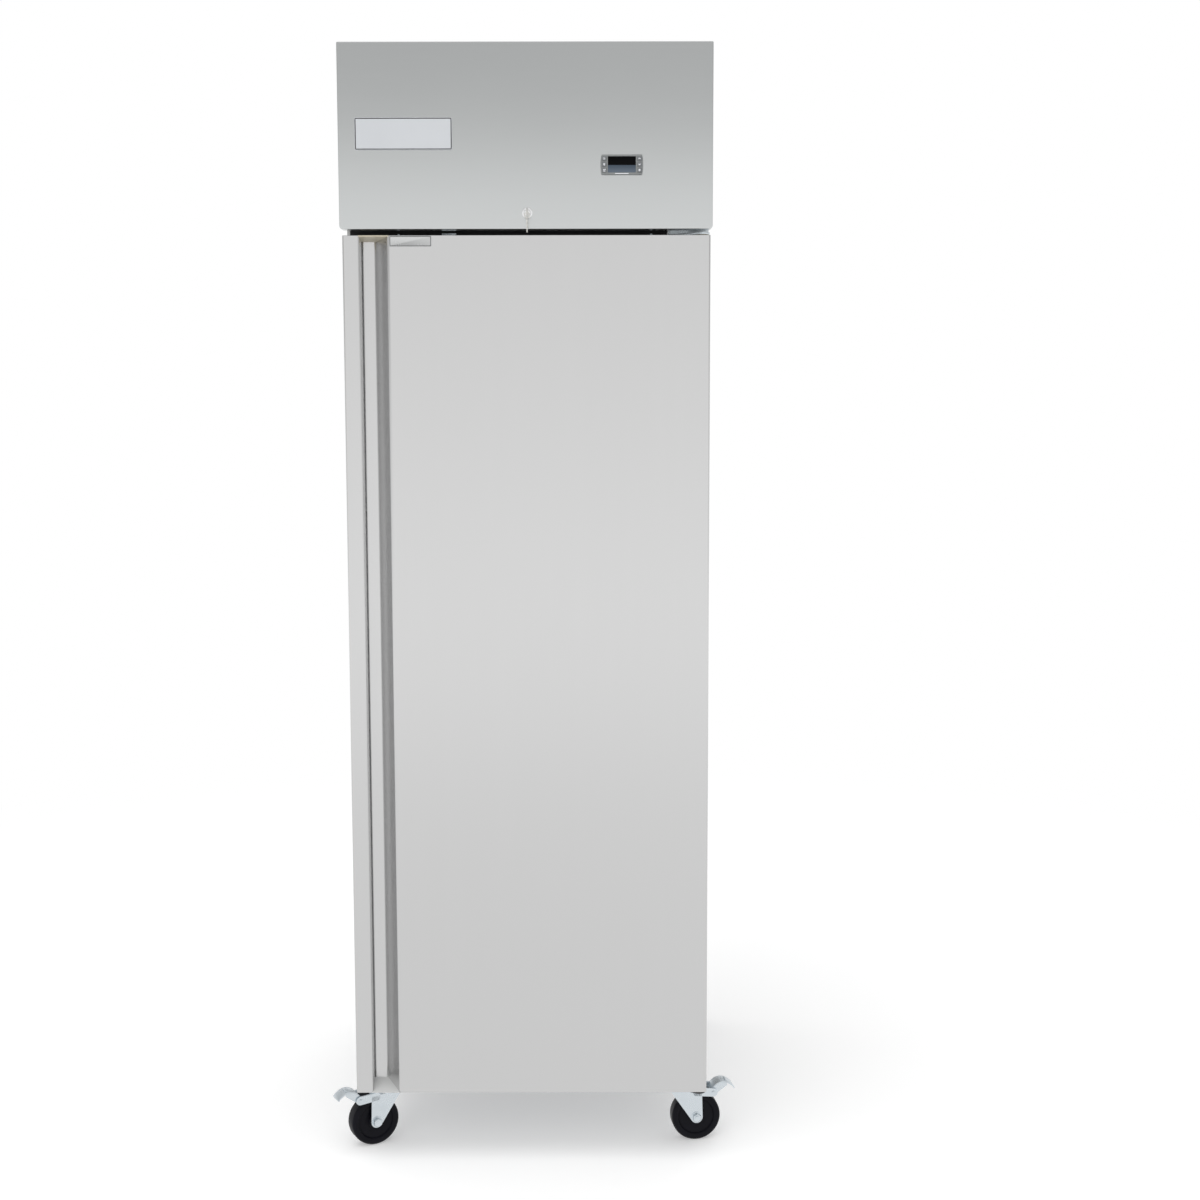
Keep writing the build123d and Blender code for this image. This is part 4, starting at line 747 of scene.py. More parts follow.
# each icon: its ring as (height, radius), and its lines as (start, end, weight)
icons = {
    "button_snow": (None, snowLines()),
    "button_lamp": (
        (0.25, 0.66),
        [((-0.32, -0.55), (0.32, -0.55), 1.0), ((-0.22, -0.85), (0.22, -0.85), 1.0)],
    ),
    "button_defrost": (None, defrostLines()),
    "button_up": (None, arrowLines(1)),
    "button_down": (None, arrowLines(-1)),
    "button_set": ((0.0, 0.72), [((-0.12, 0), (0.12, 0), 1.4)]),
}
for name, (ring, lines) in icons.items():
    low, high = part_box(name)
    size, width = (high.z - low.z) * control["iconSize"], control["iconWire"]
    mark = bmesh.new()
    if ring:
        ringStroke(mark, ring[0] * size, ring[1] * size, width)
    for start, end, weight in lines:
        stroke(mark, Vector(start) * size, Vector(end) * size, width * weight)
    for face in mark.faces:
        face.material_index = 1
    cap = plate(low, high, control["buttonCorner"], control["buttonEdge"])
    join(cap, mark, at(((low.x + high.x) / 2, low.y, (low.z + high.z) / 2)))
    makePiece(name + "_cap", cap, ("buttonPlastic", "palePrint"), name)
print("stage: cover and controller")

# lock, keys and their ring
lock = {"plugEdge": 0.00025, "barrelEdge": 0.0006, "x": 0.0025}
key = {
    "blade": 0.0145, "width": 0.006, "thick": 0.002, "bow": 0.007, "hole": 0.0022,
    "holeOffset": 0.0036, "shoulder": 0.001, "hang": 0.001, "ring": 0.0048, "ringWire": 0.0008,
    "edge": 0.0003, "cuts": 17, "cutDepth": 0.0011, "cutPitch": 1500.0,
}
barrelLow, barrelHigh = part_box("lock_barrel")
lockMiddle = Vector((lock["x"], barrelLow.y, (barrelLow.z + barrelHigh.z) / 2))
softened("lock_plug", lock["plugEdge"], "chrome")
softened("lock_barrel", lock["barrelEdge"], "chrome", 3, 50)


def keyBlank():
    # from its tip at the origin along +X, flat in the XZ plane, with cuts in the lower edge
    half, blade, bow = key["thick"] / 2, key["blade"], key["bow"]
    shape = block((0, -half, -key["width"] / 2), (blade + bow * 0.75, half, key["width"] / 2))
    lower = edgesWhere(shape, lambda a, b: near(a.y, b.y) and a.z < 0 and b.z < 0)
    inner = bmesh.ops.subdivide_edges(shape, edges=lower, cuts=key["cuts"])["geom_inner"]
    for point in only(bmesh.types.BMVert, inner):
        x = point.co.x
        if x < blade * 0.92:
            point.co.z += key["cutDepth"] * (0.7 + 0.5 * math.sin(x * key["cutPitch"]))
    head = bmesh.new()
    for radius, offset in ((bow, 0.0), (key["hole"], key["holeOffset"])):
        bmesh.ops.create_circle(head, segments=40, radius=radius, matrix=at((offset, 0, 0)))
    extrude(head, bmesh.ops.bridge_loops(head, edges=head.edges[:])["faces"], (0, 0, key["thick"]))
    soften(head, key["edge"], 2, 60)
    return join(shape, head, at((blade + bow, half, 0), 90))


def torus(radius, wire, steps=40, sides=12):
    outline = []
    for index in range(sides + 1):
        angle = math.tau * index / sides
        outline.append((radius + wire * math.cos(angle), wire * math.sin(angle)))
    return turned(outline, steps)


keyTip = Vector((lockMiddle.x, barrelLow.y + key["blade"] - key["shoulder"], lockMiddle.z))
holeY = keyTip.y - key["blade"] - key["bow"] - key["holeOffset"]
lockKey = moved(keyBlank(), at(keyTip, -90, "Z"))
ringSpot = (lockMiddle.x, holeY, lockMiddle.z - key["hang"] - key["ring"])
join(lockKey, torus(key["ring"], key["ringWire"]), at(ringSpot, 90))
makePiece("lock_key", lockKey, "nickel", "key")
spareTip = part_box("spare_key")[0].z
hanging = Matrix(((0, 1, 0, lockMiddle.x), (0, 0, 1, holeY), (1, 0, 0, spareTip), (0, 0, 0, 1)))
makePiece("hanging_key", moved(keyBlank(), hanging), "nickel", "spare_key")
print("stage: lock and keys")

# door: one folded sheet whose section has the pocket of the handle
door = {
    "sheet": 0.001, "frontCorner": 0.003, "pocketCorner": 0.0025, "foldedEnd": 0.0009,
    "lip": 0.032, "floor": 0.025, "slope": 0.027, "depth": 0.038, "linerEdge": 0.0008,
    "capEdge": 0.0007, "bushEdge": 0.0004,
    "slot": ((-0.006, -0.367), (0.037, -0.3615)),  # for the lock's tongue, in the door's top
}
caps = {
    "upper": ("creamPlastic", lambda z: z > 1.0, (-0.290, -0.3745, 1.7745), (0, -0.169, -0.986)),
    "lower": ("greyCap", lambda z: z < 1.0, (-0.290, -0.3745, 0.1385), (0, -0.39, 0.92)),
}
doorLow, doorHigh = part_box("door_outer_skin")


def doorSkin():
    left, right, front, back = doorLow.x, doorHigh.x, doorLow.y, doorHigh.y
    pocketY, lipX = front + door["depth"], left + door["lip"]
    floorX = lipX + door["floor"]
    corners = (
        (left, back), (left, front), (lipX, front), (lipX, pocketY), (floorX, pocketY),
        (floorX + door["slope"], front), (right, front), (right, back),
    )
    shape = bmesh.new()
    points = [shape.verts.new((x, y, doorLow.z)) for x, y in corners]
    for pair in zip(points, points[1:] + points[:1]):
        shape.edges.new(pair)
    for wanted, width in ((pocketY, door["pocketCorner"]), (front, door["frontCorner"])):
        folds = [v for v in shape.verts if near(v.co.y, wanted)]
        roundOff(shape, folds, width, 5, "VERTICES")
    face = bmesh.ops.contextual_create(shape, geom=shape.edges[:])["faces"]
    extrude(shape, face, (0, 0, doorHigh.z - doorLow.z))
    ends = edgesWhere(shape, lambda a, b: near(a.z, b.z) and min(a.y, b.y) < back - 1e-5)
    roundOff(shape, ends, door["foldedEnd"])
    (slotLeft, slotFront), (slotRight, slotBack) = door["slot"]
    for spot, normal in (
        ((slotLeft, 0, 0), (1, 0, 0)), ((slotRight, 0, 0), (1, 0, 0)),
        ((0, slotFront, 0), (0, 1, 0)), ((0, slotBack, 0), (0, 1, 0)),
    ):
        cutAcross(shape, spot, normal, [face for face in shape.faces if face.normal.z > 0.9])
    dropFaces(
        shape,
        lambda spot, normal: normal.z > 0.9
        and slotLeft < spot.x < slotRight and slotFront < spot.y < slotBack,
    )
    dropFaces(shape, lambda spot, normal: normal.y > 0.9 and spot.y > back - 1e-4)
    return shape


makePiece("door_skin", doorSkin(), "doorSteel", "door_outer_skin", wall=door["sheet"])
softened("door_liner", door["linerEdge"], "doorLinerSteel")
for name, (finish, keep, spot, normal) in caps.items():
    # plugs that close the ends of the handle's pocket, sloped into it
    cap = cadCopy("handle_caps", keep)
    shave(cap, spot, normal)
    makePiece(name + "_pocket_cap", soften(cap, door["capEdge"], 2, 30), finish, "handle_caps")
softened("hinge_bushes", door["bushEdge"], "creamPlastic")

# gasket: bellows round the door, mitred at the corners;
# each step goes inwards from the outer edge and away from the door
bellows = (
    (0.0006, 0.0020), (0.0012, 0.0012), (0.0010, -0.0012), (0.0010, 0.0012),
    (0.0012, 0.0028), (0.0010, 0.0015), (0.0030, 0.0002), (0.0020, -0.0012),
)
bellows += tuple((inwards, -outwards) for inwards, outwards in reversed(bellows))


def gasketShape():
    low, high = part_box("door_gasket")
    shape = bmesh.new()
    bmesh.ops.create_grid(shape, x_segments=1, y_segments=1, size=0.5)
    bmesh.ops.scale(shape, vec=(high.x - low.x, high.z - low.z, 1), verts=shape.verts)
    face = shape.faces[:]
    for inwards, outwards in bellows:
        bmesh.ops.inset_region(
            shape, faces=face, thickness=inwards, depth=outwards, use_even_offset=True,
            use_boundary=True,
        )
    bmesh.ops.delete(shape, geom=face, context="FACES")
    return moved(shape, at((0, low.y, (low.z + high.z) / 2), -90))


makePiece("door_seal", gasketShape(), "gasketRubber", "door_gasket", smooth=50)

# hinges, and the screws of hinges and casters
screws = {
    "hingeEdge": 0.0006,
    "caster": (0.0118, 0.0041, 0.0012), "spread": (0.032, 0.022), "plate": 0.003,
    "hinge": (0.0046, 0.0004), "face": -0.309,
    "spots": ((0.276, 1.800), (0.326, 1.800), (0.252, 0.1385), (0.326, 0.1385)),
}
casterSpots = {
    "front_left": (-0.288, -0.270, 208.0), "front_right": (0.288, -0.270, 8.5),
    "back_left": (-0.288, 0.363, 155.0), "back_right": (0.288, 0.363, 40.0),
}
softened("hinge_top", screws["hingeEdge"], "zinc")
# painted shade: the lower hinge gets black enamel for the shade it sits in under the door, while
# the upper hinge is zinc
softened("hinge_bottom", screws["hingeEdge"], "blackEnamel")
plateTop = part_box("caster_plates")[1].z
plateUnder = plateTop - screws["plate"]
bolts = bmesh.new()
for x, y, heading in casterSpots.values():
    for spot in fourRound(x, y, *screws["spread"]):
        hexHead(bolts, (*spot, plateUnder), (0, 0, -1), *screws["caster"])
for x, z in screws["spots"]:
    screwHead(bolts, (x, screws["face"], z), (0, -1, 0), *screws["hinge"])
makePiece("cabinet_fasteners", bolts, "zinc", "cabinet_screws")
print("stage: door, gasket and hinges")

# casters: pressed fork under a ball race, solid wheel, foot brake on the front pair
caster = {
    "trail": 0.036, "axle": 0.049, "wheel": 0.049, "halfWidth": 0.016, "reach": 0.0172,
    "legOut": 0.0205, "sheet": 0.003, "legRound": 0.012, "crownUnder": 0.104, "crownTop": 0.107,
    "crownBack": -0.0135, "crownFront": 0.0465, "bend": 0.005, "pedalPin": (0.070, 0.098),
    "race": 0.0262, "bore": 0.0054, "balls": 22, "ball": 0.0021,
    "kingpin": (0.0165, 0.0035, 0.0012), "axleBolt": 0.0049, "boltAcross": 0.0158,
    "washer": 0.0012, "ear": 0.0085, "earPin": 0.0029, "soft": 0.0005,
    "pinHead": ((0, 0.002), (0.0026, 0.0017), (0.0042, 0.0008), (0.0044, 0), (0, 0)),
}


def forkSheet():
    # the two legs and the crown as one bent sheet
    top = caster["crownTop"]
    shape = bmesh.new()
    for side in (-1, 1):
        face = side * caster["legOut"]
        disc(shape, (caster["trail"], face, caster["axle"]), caster["legRound"], 40)
        for x in (caster["crownBack"], caster["crownFront"]):
            for z in (top, caster["crownUnder"] - 0.004):
                shape.verts.new((x, face, z))
    hullOf(shape)
    roundOff(shape, edgesAt(shape, "z", top, lambda a, b: near(a.y, b.y)), caster["bend"], 4)
    dropFaces(
        shape,
        lambda spot, normal: abs(normal.y) < 0.5 and normal.z < 0.2 and spot.z < top - 0.0002,
    )
    thicken(shape, caster["sheet"])
    return soften(shape, caster["soft"], 2, 50)


def forkShape(braked):
    # adds races, kingpin nut, axle bolt and, with a brake, the ears that hold its pin
    shape = forkSheet()
    names = ("crownUnder", "crownTop", "race", "bore", "trail", "axle", "legOut")
    under, top, race, bore, trail, axle, out = (caster[name] for name in names)
    crown = [
        (bore, under), (race + 0.0008, under), (race + 0.0008, top), (race - 0.001, top + 0.0006),
        (race, top + 0.003), (race - 0.0012, top + 0.0062), (race - 0.003, top + 0.0068),
        (bore, top + 0.0068), (bore, under),
    ]
    join(shape, turned(crown, 48))
    track = race - 2 * caster["ball"]
    for index in range(caster["balls"]):
        angle = math.tau * index / caster["balls"]
        spot = at((track * math.cos(angle), track * math.sin(angle), top + 0.0078))
        bmesh.ops.create_uvsphere(
            shape, u_segments=10, v_segments=6, radius=caster["ball"], matrix=spot
        )
    hexHead(shape, (0, 0, under), (0, 0, -1), *caster["kingpin"])
    for side, rise in ((-1, 0.0044), (1, 0.0060)):
        spot = (trail, side * out, axle)
        hexHead(shape, spot, (0, side, 0), caster["boltAcross"], rise, caster["washer"])
    bolt = ((trail, -out - 0.0075, axle), (trail, out + 0.0078, axle))
    bar(shape, *bolt, caster["axleBolt"], 24)
    if not braked:
        return shape
    pinX, pinZ = caster["pedalPin"]
    for side in (-1, 1):
        ear = bmesh.new()
        for x, z in ((pinX, pinZ), (trail, under - caster["sheet"])):
            for y in (out, out - caster["sheet"]):
                disc(ear, (x, side * y, z), caster["ear"], 32)
        hullOf(ear)
        join(shape, soften(ear, 0.0004, 2, 50))
        join(shape, turned(caster["pinHead"], 20), at((pinX, side * out, pinZ), -side * 90))
    bar(shape, (pinX, -out, pinZ), (pinX, out, pinZ), caster["earPin"], 20)
    return shape


def wheelShape():
    # tread with round shoulders, dished sides and the hub
    half, radius, reach = caster["halfWidth"], caster["wheel"], caster["reach"]
    outline = [
        (0.0051, reach), (0.012, reach), (0.015, reach - 0.0012), (0.0154, half - 0.0040),
        (0.0200, half - 0.0044), (0.0215, half - 0.0036), (0.0300, half - 0.0040),
        (0.0345, half - 0.0038), (0.0362, half - 0.0008), (0.0375, half),
    ]
    bend = 0.006
    for step in range(7):
        angle = math.radians(90 - 15 * step)
        outline.append(
            (radius - bend + bend * math.cos(angle), half - bend + bend * math.sin(angle))
        )
    outline.append((radius, 0.0))
    lower = [(r, -h) for r, h in reversed(outline[:-1])]
    place = at((caster["trail"], 0, caster["axle"]), 90)
    return moved(turned(outline + lower + outline[:1], 72), place)


pedal = {
    "gap": 0.0164, "sheet": 0.0022, "width": 0.0160, "fold": 0.005, "boss": 0.0068, "tube": 0.0046,
    "line": (
        (0.066, 0.1025), (0.0735, 0.1135), (0.0855, 0.1195), (0.0985, 0.1182), (0.1130, 0.1085),
        (0.1145, 0.1045),
    ),
    "ridges": (0.0895, 0.0955), "ridgeHeights": (0.1176, 0.1196), "ridgeWidth": 0.0018,
    "cam": (0.0058, 0.002), "camReach": 0.008, "camLean": 20.0, "camHalf": 0.012,
}


def pedalShape():
    # bent foot plate with pressed ridges, its side cheeks, tube and cam
    width, sheet, gap = pedal["width"], pedal["sheet"], pedal["gap"]
    shape = bmesh.new()
    line = [shape.verts.new((x, -width, z - 0.0006)) for x, z in pedal["line"]]
    for pair in zip(line, line[1:]):
        shape.edges.new(pair)
    roundOff(shape, line[1:-1], pedal["fold"], 4, "VERTICES")
    extrude(shape, shape.edges[:], (0, 2 * width, 0), edges=True)
    thicken(shape, sheet)
    soften(shape, 0.0005, 2, 50)
    pinX, pinZ = caster["pedalPin"]
    for side in (-1, 1):
        cheek = bmesh.new()
        for y in (side * (gap - sheet), side * gap):
            disc(cheek, (pinX, y, pinZ), pedal["boss"], 24)
            for x, z in pedal["line"][1:4]:
                cheek.verts.new((x, y, z - sheet))
            cheek.verts.new((pedal["line"][3][0], y, pedal["line"][3][1] - 0.008))
        hullOf(cheek)
        join(shape, soften(cheek, 0.0004, 1, 50))
    bar(shape, (pinX, -gap, pinZ), (pinX, gap, pinZ), pedal["tube"], 24)
    low, high = pedal["ridgeHeights"]
    for x in pedal["ridges"]:
        corners = (x, -width * 0.62, low), (x + pedal["ridgeWidth"], width * 0.62, high)
        join(shape, block(*corners, 0.0006, 2, 50))
    cam = bmesh.new()
    lean = math.radians(pedal["camLean"])
    lean += math.atan2(caster["axle"] - pinZ, caster["trail"] - pinX)
    for radius, reach in zip(pedal["cam"], (0.0, pedal["camReach"])):
        for y in (-pedal["camHalf"], pedal["camHalf"]):
            spot = (pinX + reach * math.cos(lean), y, pinZ + reach * math.sin(lean))
            disc(cam, spot, radius, 20)
    hullOf(cam)
    return join(shape, cam)


for name, (x, y, heading) in casterSpots.items():
    place = at((x, y, 0), heading, "Z")
    braked = name.startswith("front")
    makePiece("fork_sheet_" + name, moved(forkShape(braked), place), "zinc", "fork_" + name)
    makePiece("solid_wheel_" + name, moved(wheelShape(), place), "wheelRubber", "wheel_" + name)
    if braked:
        makePiece("foot_brake_" + name, moved(pedalShape(), place), "zinc", "pedal_" + name)

mounting = {
    "half": (0.042, 0.031), "corner": 0.006, "soft": 0.0005,
    "cup": (
        (0.0060, 0.1240), (0.0060, 0.1160), (0.0228, 0.1160), (0.0238, 0.1172), (0.0239, 0.1195),
        (0.0216, 0.1240), (0.0060, 0.1240),
    ),
}
mountingPlates = bmesh.new()
for x, y, heading in casterSpots.values():
    # plate with its upper race
    halfX, halfY = mounting["half"]
    sheet = block((x - halfX, y - halfY, plateUnder), (x + halfX, y + halfY, plateTop))
    roundOff(sheet, upEdges(sheet), mounting["corner"], 4)
    join(mountingPlates, soften(sheet, mounting["soft"], 2, 60))
    join(mountingPlates, turned(mounting["cup"], 48), at((x, y, 0)))
makePiece("mounting_plates", mountingPlates, "zinc", "caster_plates")
print("stage: casters")

# wire shelves: rim, cross rods under it and long wires on top
shelf = {
    "corner": 0.012, "rim": 0.0027, "rimRise": 0.0030, "rod": 0.0016, "rods": 4, "rodInset": 0.035,
    "wire": 0.0014, "wires": 27, "wireInset": 0.020, "sides": 8, "clipEdge": 0.0004,
}


def between(low, high, inset, count):
    return [low + inset + (high - low - 2 * inset) * index / (count - 1) for index in range(count)]


def wireShelf(low, high):
    shape = bmesh.new()
    rim, rod, wire = shelf["rim"], shelf["rod"], shelf["wire"]
    left, right, front, back = low.x + rim, high.x - rim, low.y + rim, high.y - rim
    corners = ((left, front), (right, front), (right, back), (left, back))
    points = [(x, y, low.z + shelf["rimRise"]) for x, y in corners]
    bentWire(shape, points, rim, shelf["corner"], closed=True, sides=12)
    for y in between(low.y, high.y, shelf["rodInset"], shelf["rods"]):
        bar(shape, (left, y, low.z + rod), (right, y, low.z + rod), rod, shelf["sides"])
    for x in between(low.x, high.x, shelf["wireInset"], shelf["wires"]):
        bar(shape, (x, front, high.z - wire), (x, back, high.z - wire), wire, shelf["sides"])
    return shape


for node in ("shelf_lower", "shelf_middle", "shelf_top"):
    makePiece("wire_" + node, wireShelf(*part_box(node)), "shelfCoat", node)
softened("shelf_clips", shelf["clipEdge"], "zinc")
print("stage: shelves")

# evaporator housing: CAD shell with soft folds and its screws
housing = {
    "edge": 0.0006, "inset": 0.012, "screw": (0.004, 0.0016), "face": -0.120,
    "front": (-0.236, -0.12, 0.12, 0.236), "sides": (-0.10, 0.06, 0.20),
}
softened("evaporator_housing", housing["edge"], "whiteCoat", 1, 50)
housingLow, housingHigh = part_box("evaporator_housing")
rows = housingLow.z + housing["inset"], housingHigh.z - housing["inset"]
housingScrews = bmesh.new()
for x in housing["front"]:
    for z in rows:
        screwHead(housingScrews, (x, housing["face"], z), (0, -1, 0), *housing["screw"])
for side, x in ((-1, housingLow.x), (1, housingHigh.x)):
    for y in housing["sides"]:
        screwHead(housingScrews, (x, y, rows[1]), (side, 0, 0), *housing["screw"])
makePiece("housing_screws", housingScrews, "zinc")

# coils: thin fins on rows of tube, end plates and return bends;
# each coil has its axis, its rows and columns of tube, and the tube's radius
coil = {"pitch": 0.0042, "fin": 0.00035, "plate": 0.0015, "bend": 0.016, "gap": 0.003}
coils = {"evaporator": (0, 3, 6, 0.0050), "condenser": (1, 8, 2, 0.0040)}


def coilShape(low, high, along, rows, columns, tube):
    # fins stand across the run; the tubes pass through them and turn back at the ends
    shape = bmesh.new()
    start = low[along] + coil["gap"] + coil["bend"] + tube
    stop = high[along] - coil["gap"] - coil["bend"] - tube
    count = int((stop - start) / coil["pitch"])
    for index in range(count + 1):
        spot = start + (stop - start) / count * index
        thick = coil["plate"] if index in (0, count) else coil["fin"]
        lowCorner, highCorner = Vector(low), Vector(high)
        lowCorner[along], highCorner[along] = spot - thick, spot + thick
        slab(shape, lowCorner, highCorner)
    other = 1 - along
    step = (high[other] - low[other]) / columns
    reach = min(coil["bend"], step / 2)
    for row in range(rows):
        z = low.z + (high.z - low.z) * (row + 0.5) / rows
        for column in range(columns):
            ends = []
            for spot in (start - 0.002, stop + 0.002):
                point = Vector((0, 0, z))
                point[along], point[other] = spot, low[other] + step * (column + 0.5)
                ends.append(point)
            bar(shape, *ends, tube)
            if column % 2 or column + 1 == columns:
                continue
            for spot, way in zip(ends, (-1, 1)):
                path = [Vector(spot) for index in range(4)]
                path[1][along] += way * reach
                path[2][along] += way * reach
                path[2][other] += step
                path[3][other] += step
                bentWire(shape, path, tube, reach * 0.98, sides=12)
    return shape


for name, sizes in coils.items():
    node = name + "_coil"
    makePiece(name + "_fins", coilShape(*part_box(node), *sizes), "finMetal", node, smooth=30)
print("stage: coils")

# fans: cambered blades on a hub, and ribbed motors;
# a fan's axes give the place of its axle where it turns about Y or X
fan = {
    "blades": 5, "hub": 0.018, "depth": 0.022, "camber": 0.16, "sheet": 0.0016, "chord": 0.30,
    "axes": {"y": (0.0, 1.654), "x": (0.025, 1.940)},
}
fans = {"evaporator_fan_blade": ("y", 0.130), "condenser_fan_blade": ("x", 0.232)}
motor = {
    "radius": 0.030, "length": 0.040, "shaft": 0.0039, "ribs": 16, "reach": 0.0203,
    "screws": (-0.018, 0.018), "screw": (0.0024, 0.0010), "drop": 0.0023,
}


def fanBlade(radius):
    hub, depth = fan["hub"] * 0.9, fan["depth"]
    blade = bmesh.new()
    bmesh.ops.create_grid(blade, x_segments=8, y_segments=8, size=0.5)
    for point in blade.verts:
        out, chord = point.co.x + 0.5, point.co.y
        reach = hub + (radius * 0.985 - hub) * out
        width = 2 * radius * fan["chord"] * (0.62 + 0.50 * out - 0.16 * out * out)
        angle = chord * width / reach + 0.28 * out * out
        lift = depth * (0.88 - 0.22 * out) * chord - fan["camber"] * depth * (1 - 4 * chord * chord)
        point.co = Vector((reach * math.cos(angle), reach * math.sin(angle), depth * 0.5 + lift))
    thicken(blade, fan["sheet"])
    return blade


def fanShape(diameter):
    # axis on Z, shaft from below, blades inside the hub's height
    hub, depth = fan["hub"], fan["depth"]
    outline = [
        (0, depth - 0.0006), (hub * 0.30, depth - 0.0006), (hub * 0.34, depth - 0.0022),
        (hub * 0.78, depth - 0.0016), (hub * 0.95, depth - 0.0034), (hub, depth - 0.006),
        (hub, 0.0012), (hub - 0.001, 0.0004), (0.0041, 0.0004), (0.0041, depth - 0.004),
        (0, depth - 0.004),
    ]
    shape = joinRound(bmesh.new(), fan["blades"], lambda: fanBlade(diameter / 2))
    return join(shape, turned(outline, 48))


def upright(node):
    # matrix that stands a Z axis shape on a fan's place; its shaft enters from the motor's side
    axis = fans[node][0]
    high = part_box(node)[1]
    across, height = fan["axes"][axis]
    if axis == "y":
        return at((across, high.y, height), 90)
    return at((high.x, across, height), -90, "Y")


def motorShape():
    # shaft along +Z from the face at z 0
    radius, length = motor["radius"], motor["length"]
    outline = [
        (0, -length), (radius * 0.62, -length), (radius * 0.80, -length + 0.0015),
        (radius * 0.86, -length + 0.006), (radius * 0.86, -length * 0.72),
        (radius * 0.97, -length * 0.70), (radius, -length * 0.66), (radius, -length * 0.30),
        (radius * 0.97, -length * 0.26), (radius * 0.86, -length * 0.24), (radius * 0.86, -0.003),
        (radius * 0.80, -0.0006), (radius * 0.3, -0.0006), (radius * 0.28, 0.0), (0, 0.0),
    ]
    low = (radius * 0.84, -0.0009, -length * 0.98)
    high = (radius * 0.93, 0.0009, -length * 0.73)
    shape = joinRound(turned(outline, 48), motor["ribs"], lambda: block(low, high))
    bar(shape, (0, 0, -0.001), (0, 0, motor["reach"]), motor["shaft"], 20)
    for x in motor["screws"]:
        screwHead(shape, (x, 0, -length), (0, 0, -1), *motor["screw"])
    return shape


motors = bmesh.new()
for node, (axis, diameter) in fans.items():
    makePiece(node + "_piece", moved(fanShape(diameter), upright(node)), "blackPlastic", node)
    join(motors, motorShape(), upright(node) @ at((0, 0, -motor["drop"])))
makePiece("ribbed_motors", motors, "blackEnamel", "fan_motors")
print("stage: fans and motors")

# compressor: domed shell with its seam, feet on grommets, terminal cover
compressor = {
    "x": 0.130, "y": 0.190, "radius": 0.082, "bottom": 1.821, "top": 2.026, "dome": 0.030,
    "seam": 1.992, "foot": (1.818, 1.821), "half": 0.093, "corner": 0.014, "mount": 0.075,
    "grommet": (
        (0, 1.8105), (0.0128, 1.8105), (0.0130, 1.8125), (0.0112, 1.8140), (0.0130, 1.8155),
        (0.0128, 1.8178), (0.0080, 1.8180), (0.0080, 1.8213), (0.0102, 1.8215), (0.0104, 1.8235),
        (0.0096, 1.8246), (0, 1.8246),
    ),
    "nut": (0.010, 0.0046, 0.001), "nutHeight": 1.8244, "stud": (0.0029, 0.010),
    "terminal": ((0.096, 0.082, 1.888), (0.164, 0.150, 1.948)), "terminalEdge": 0.004,
    "clip": ((0.0952, 0.0812, 1.914), (0.1648, 0.150, 1.922)),
}


def compressorShape():
    c = compressor
    x, y, radius, half = c["x"], c["y"], c["radius"], c["half"]
    seam, dome = c["seam"], c["dome"]

    def domeLine(height, angles):
        return [
            (
                radius - dome + dome * math.cos(math.radians(angle)),
                height + dome * math.sin(math.radians(angle)),
            )
            for angle in angles
        ]

    outline = [
        (0, c["bottom"]), *domeLine(c["bottom"] + dome, range(-90, 1, 15)),
        (radius, seam - 0.005), (radius + 0.0023, seam - 0.004),
        (radius + 0.0023, seam + 0.003), (radius + 0.0004, seam + 0.004),
        *domeLine(c["top"] - dome, range(0, 91, 15)), (0, c["top"]),
    ]
    shape = moved(turned(outline, 72), at((x, y, 0)))
    foot = block((x - half, y - half, c["foot"][0]), (x + half, y + half, c["foot"][1]))
    roundOff(foot, upEdges(foot), c["corner"], 5)
    join(shape, soften(foot, 0.0006, 2, 60))
    bar(shape, (x, y + 0.078, 1.9012), (x, y + 0.090, 1.9012), 0.0069, 20)
    bar(shape, (x - 0.041, y, c["top"] - 0.008), (x - 0.041, y, c["top"] + 0.008), 0.0049, 20)
    return shape


makePiece("compressor_shell", compressorShape(), "blackEnamel", "compressor")
grommets, nuts = bmesh.new(), bmesh.new()
z, mount = compressor["nutHeight"], compressor["mount"]
for x, y in fourRound(compressor["x"], compressor["y"], mount, mount):
    join(grommets, turned(compressor["grommet"]), at((x, y, 0)))
    hexHead(nuts, (x, y, z), (0, 0, 1), *compressor["nut"])
    bar(nuts, (x, y, z), (x, y, z + compressor["stud"][1]), compressor["stud"][0])
makePiece("compressor_grommets", grommets, "gasketRubber")
makePiece("compressor_nuts", nuts, "zinc")
terminal = block(*compressor["terminal"], compressor["terminalEdge"], 3)
join(terminal, block(*compressor["clip"]))
makePiece("terminal_cover", terminal, "blackPlastic")

# electrical box with its lid screws, base tray, shroud and gland
compartment = {
    "boxEdge": 0.0012, "baseEdge": 0.0010, "shroudEdge": 0.0008, "inset": 0.012,
    "screw": (0.0038, 0.0016), "shroudX": -0.1435, "shroudY": (-0.15, 0.0), "shroudZ": 2.060,
}
softened("electrical_box", compartment["boxEdge"], "sheet", 2, 50)
softened("unit_base", compartment["baseEdge"], "sheet", 2, 50)
softened("fan_shroud", compartment["shroudEdge"], "sheet", 1, 60)
boxLow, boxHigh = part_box("electrical_box")
boxScrews = bmesh.new()
for x in (boxLow.x + compartment["inset"], boxHigh.x - compartment["inset"]):
    for y in (boxLow.y + compartment["inset"], boxHigh.y - compartment["inset"]):
        screwHead(boxScrews, (x, y, boxHigh.z), (0, 0, 1), *compartment["screw"])
for y in compartment["shroudY"]:
    spot = (compartment["shroudX"], y, compartment["shroudZ"])
    screwHead(boxScrews, spot, (1, 0, 0), *compartment["screw"])
makePiece("compartment_screws", boxScrews, "zinc")

gland = {
    "x": -0.250, "z": 1.812, "wall": 0.415, "end": 0.429, "bore": 0.005, "inside": 0.399,
    "ribs": 24, "nut": (0.0258, 0.0058), "nutDrop": 0.0012,
}


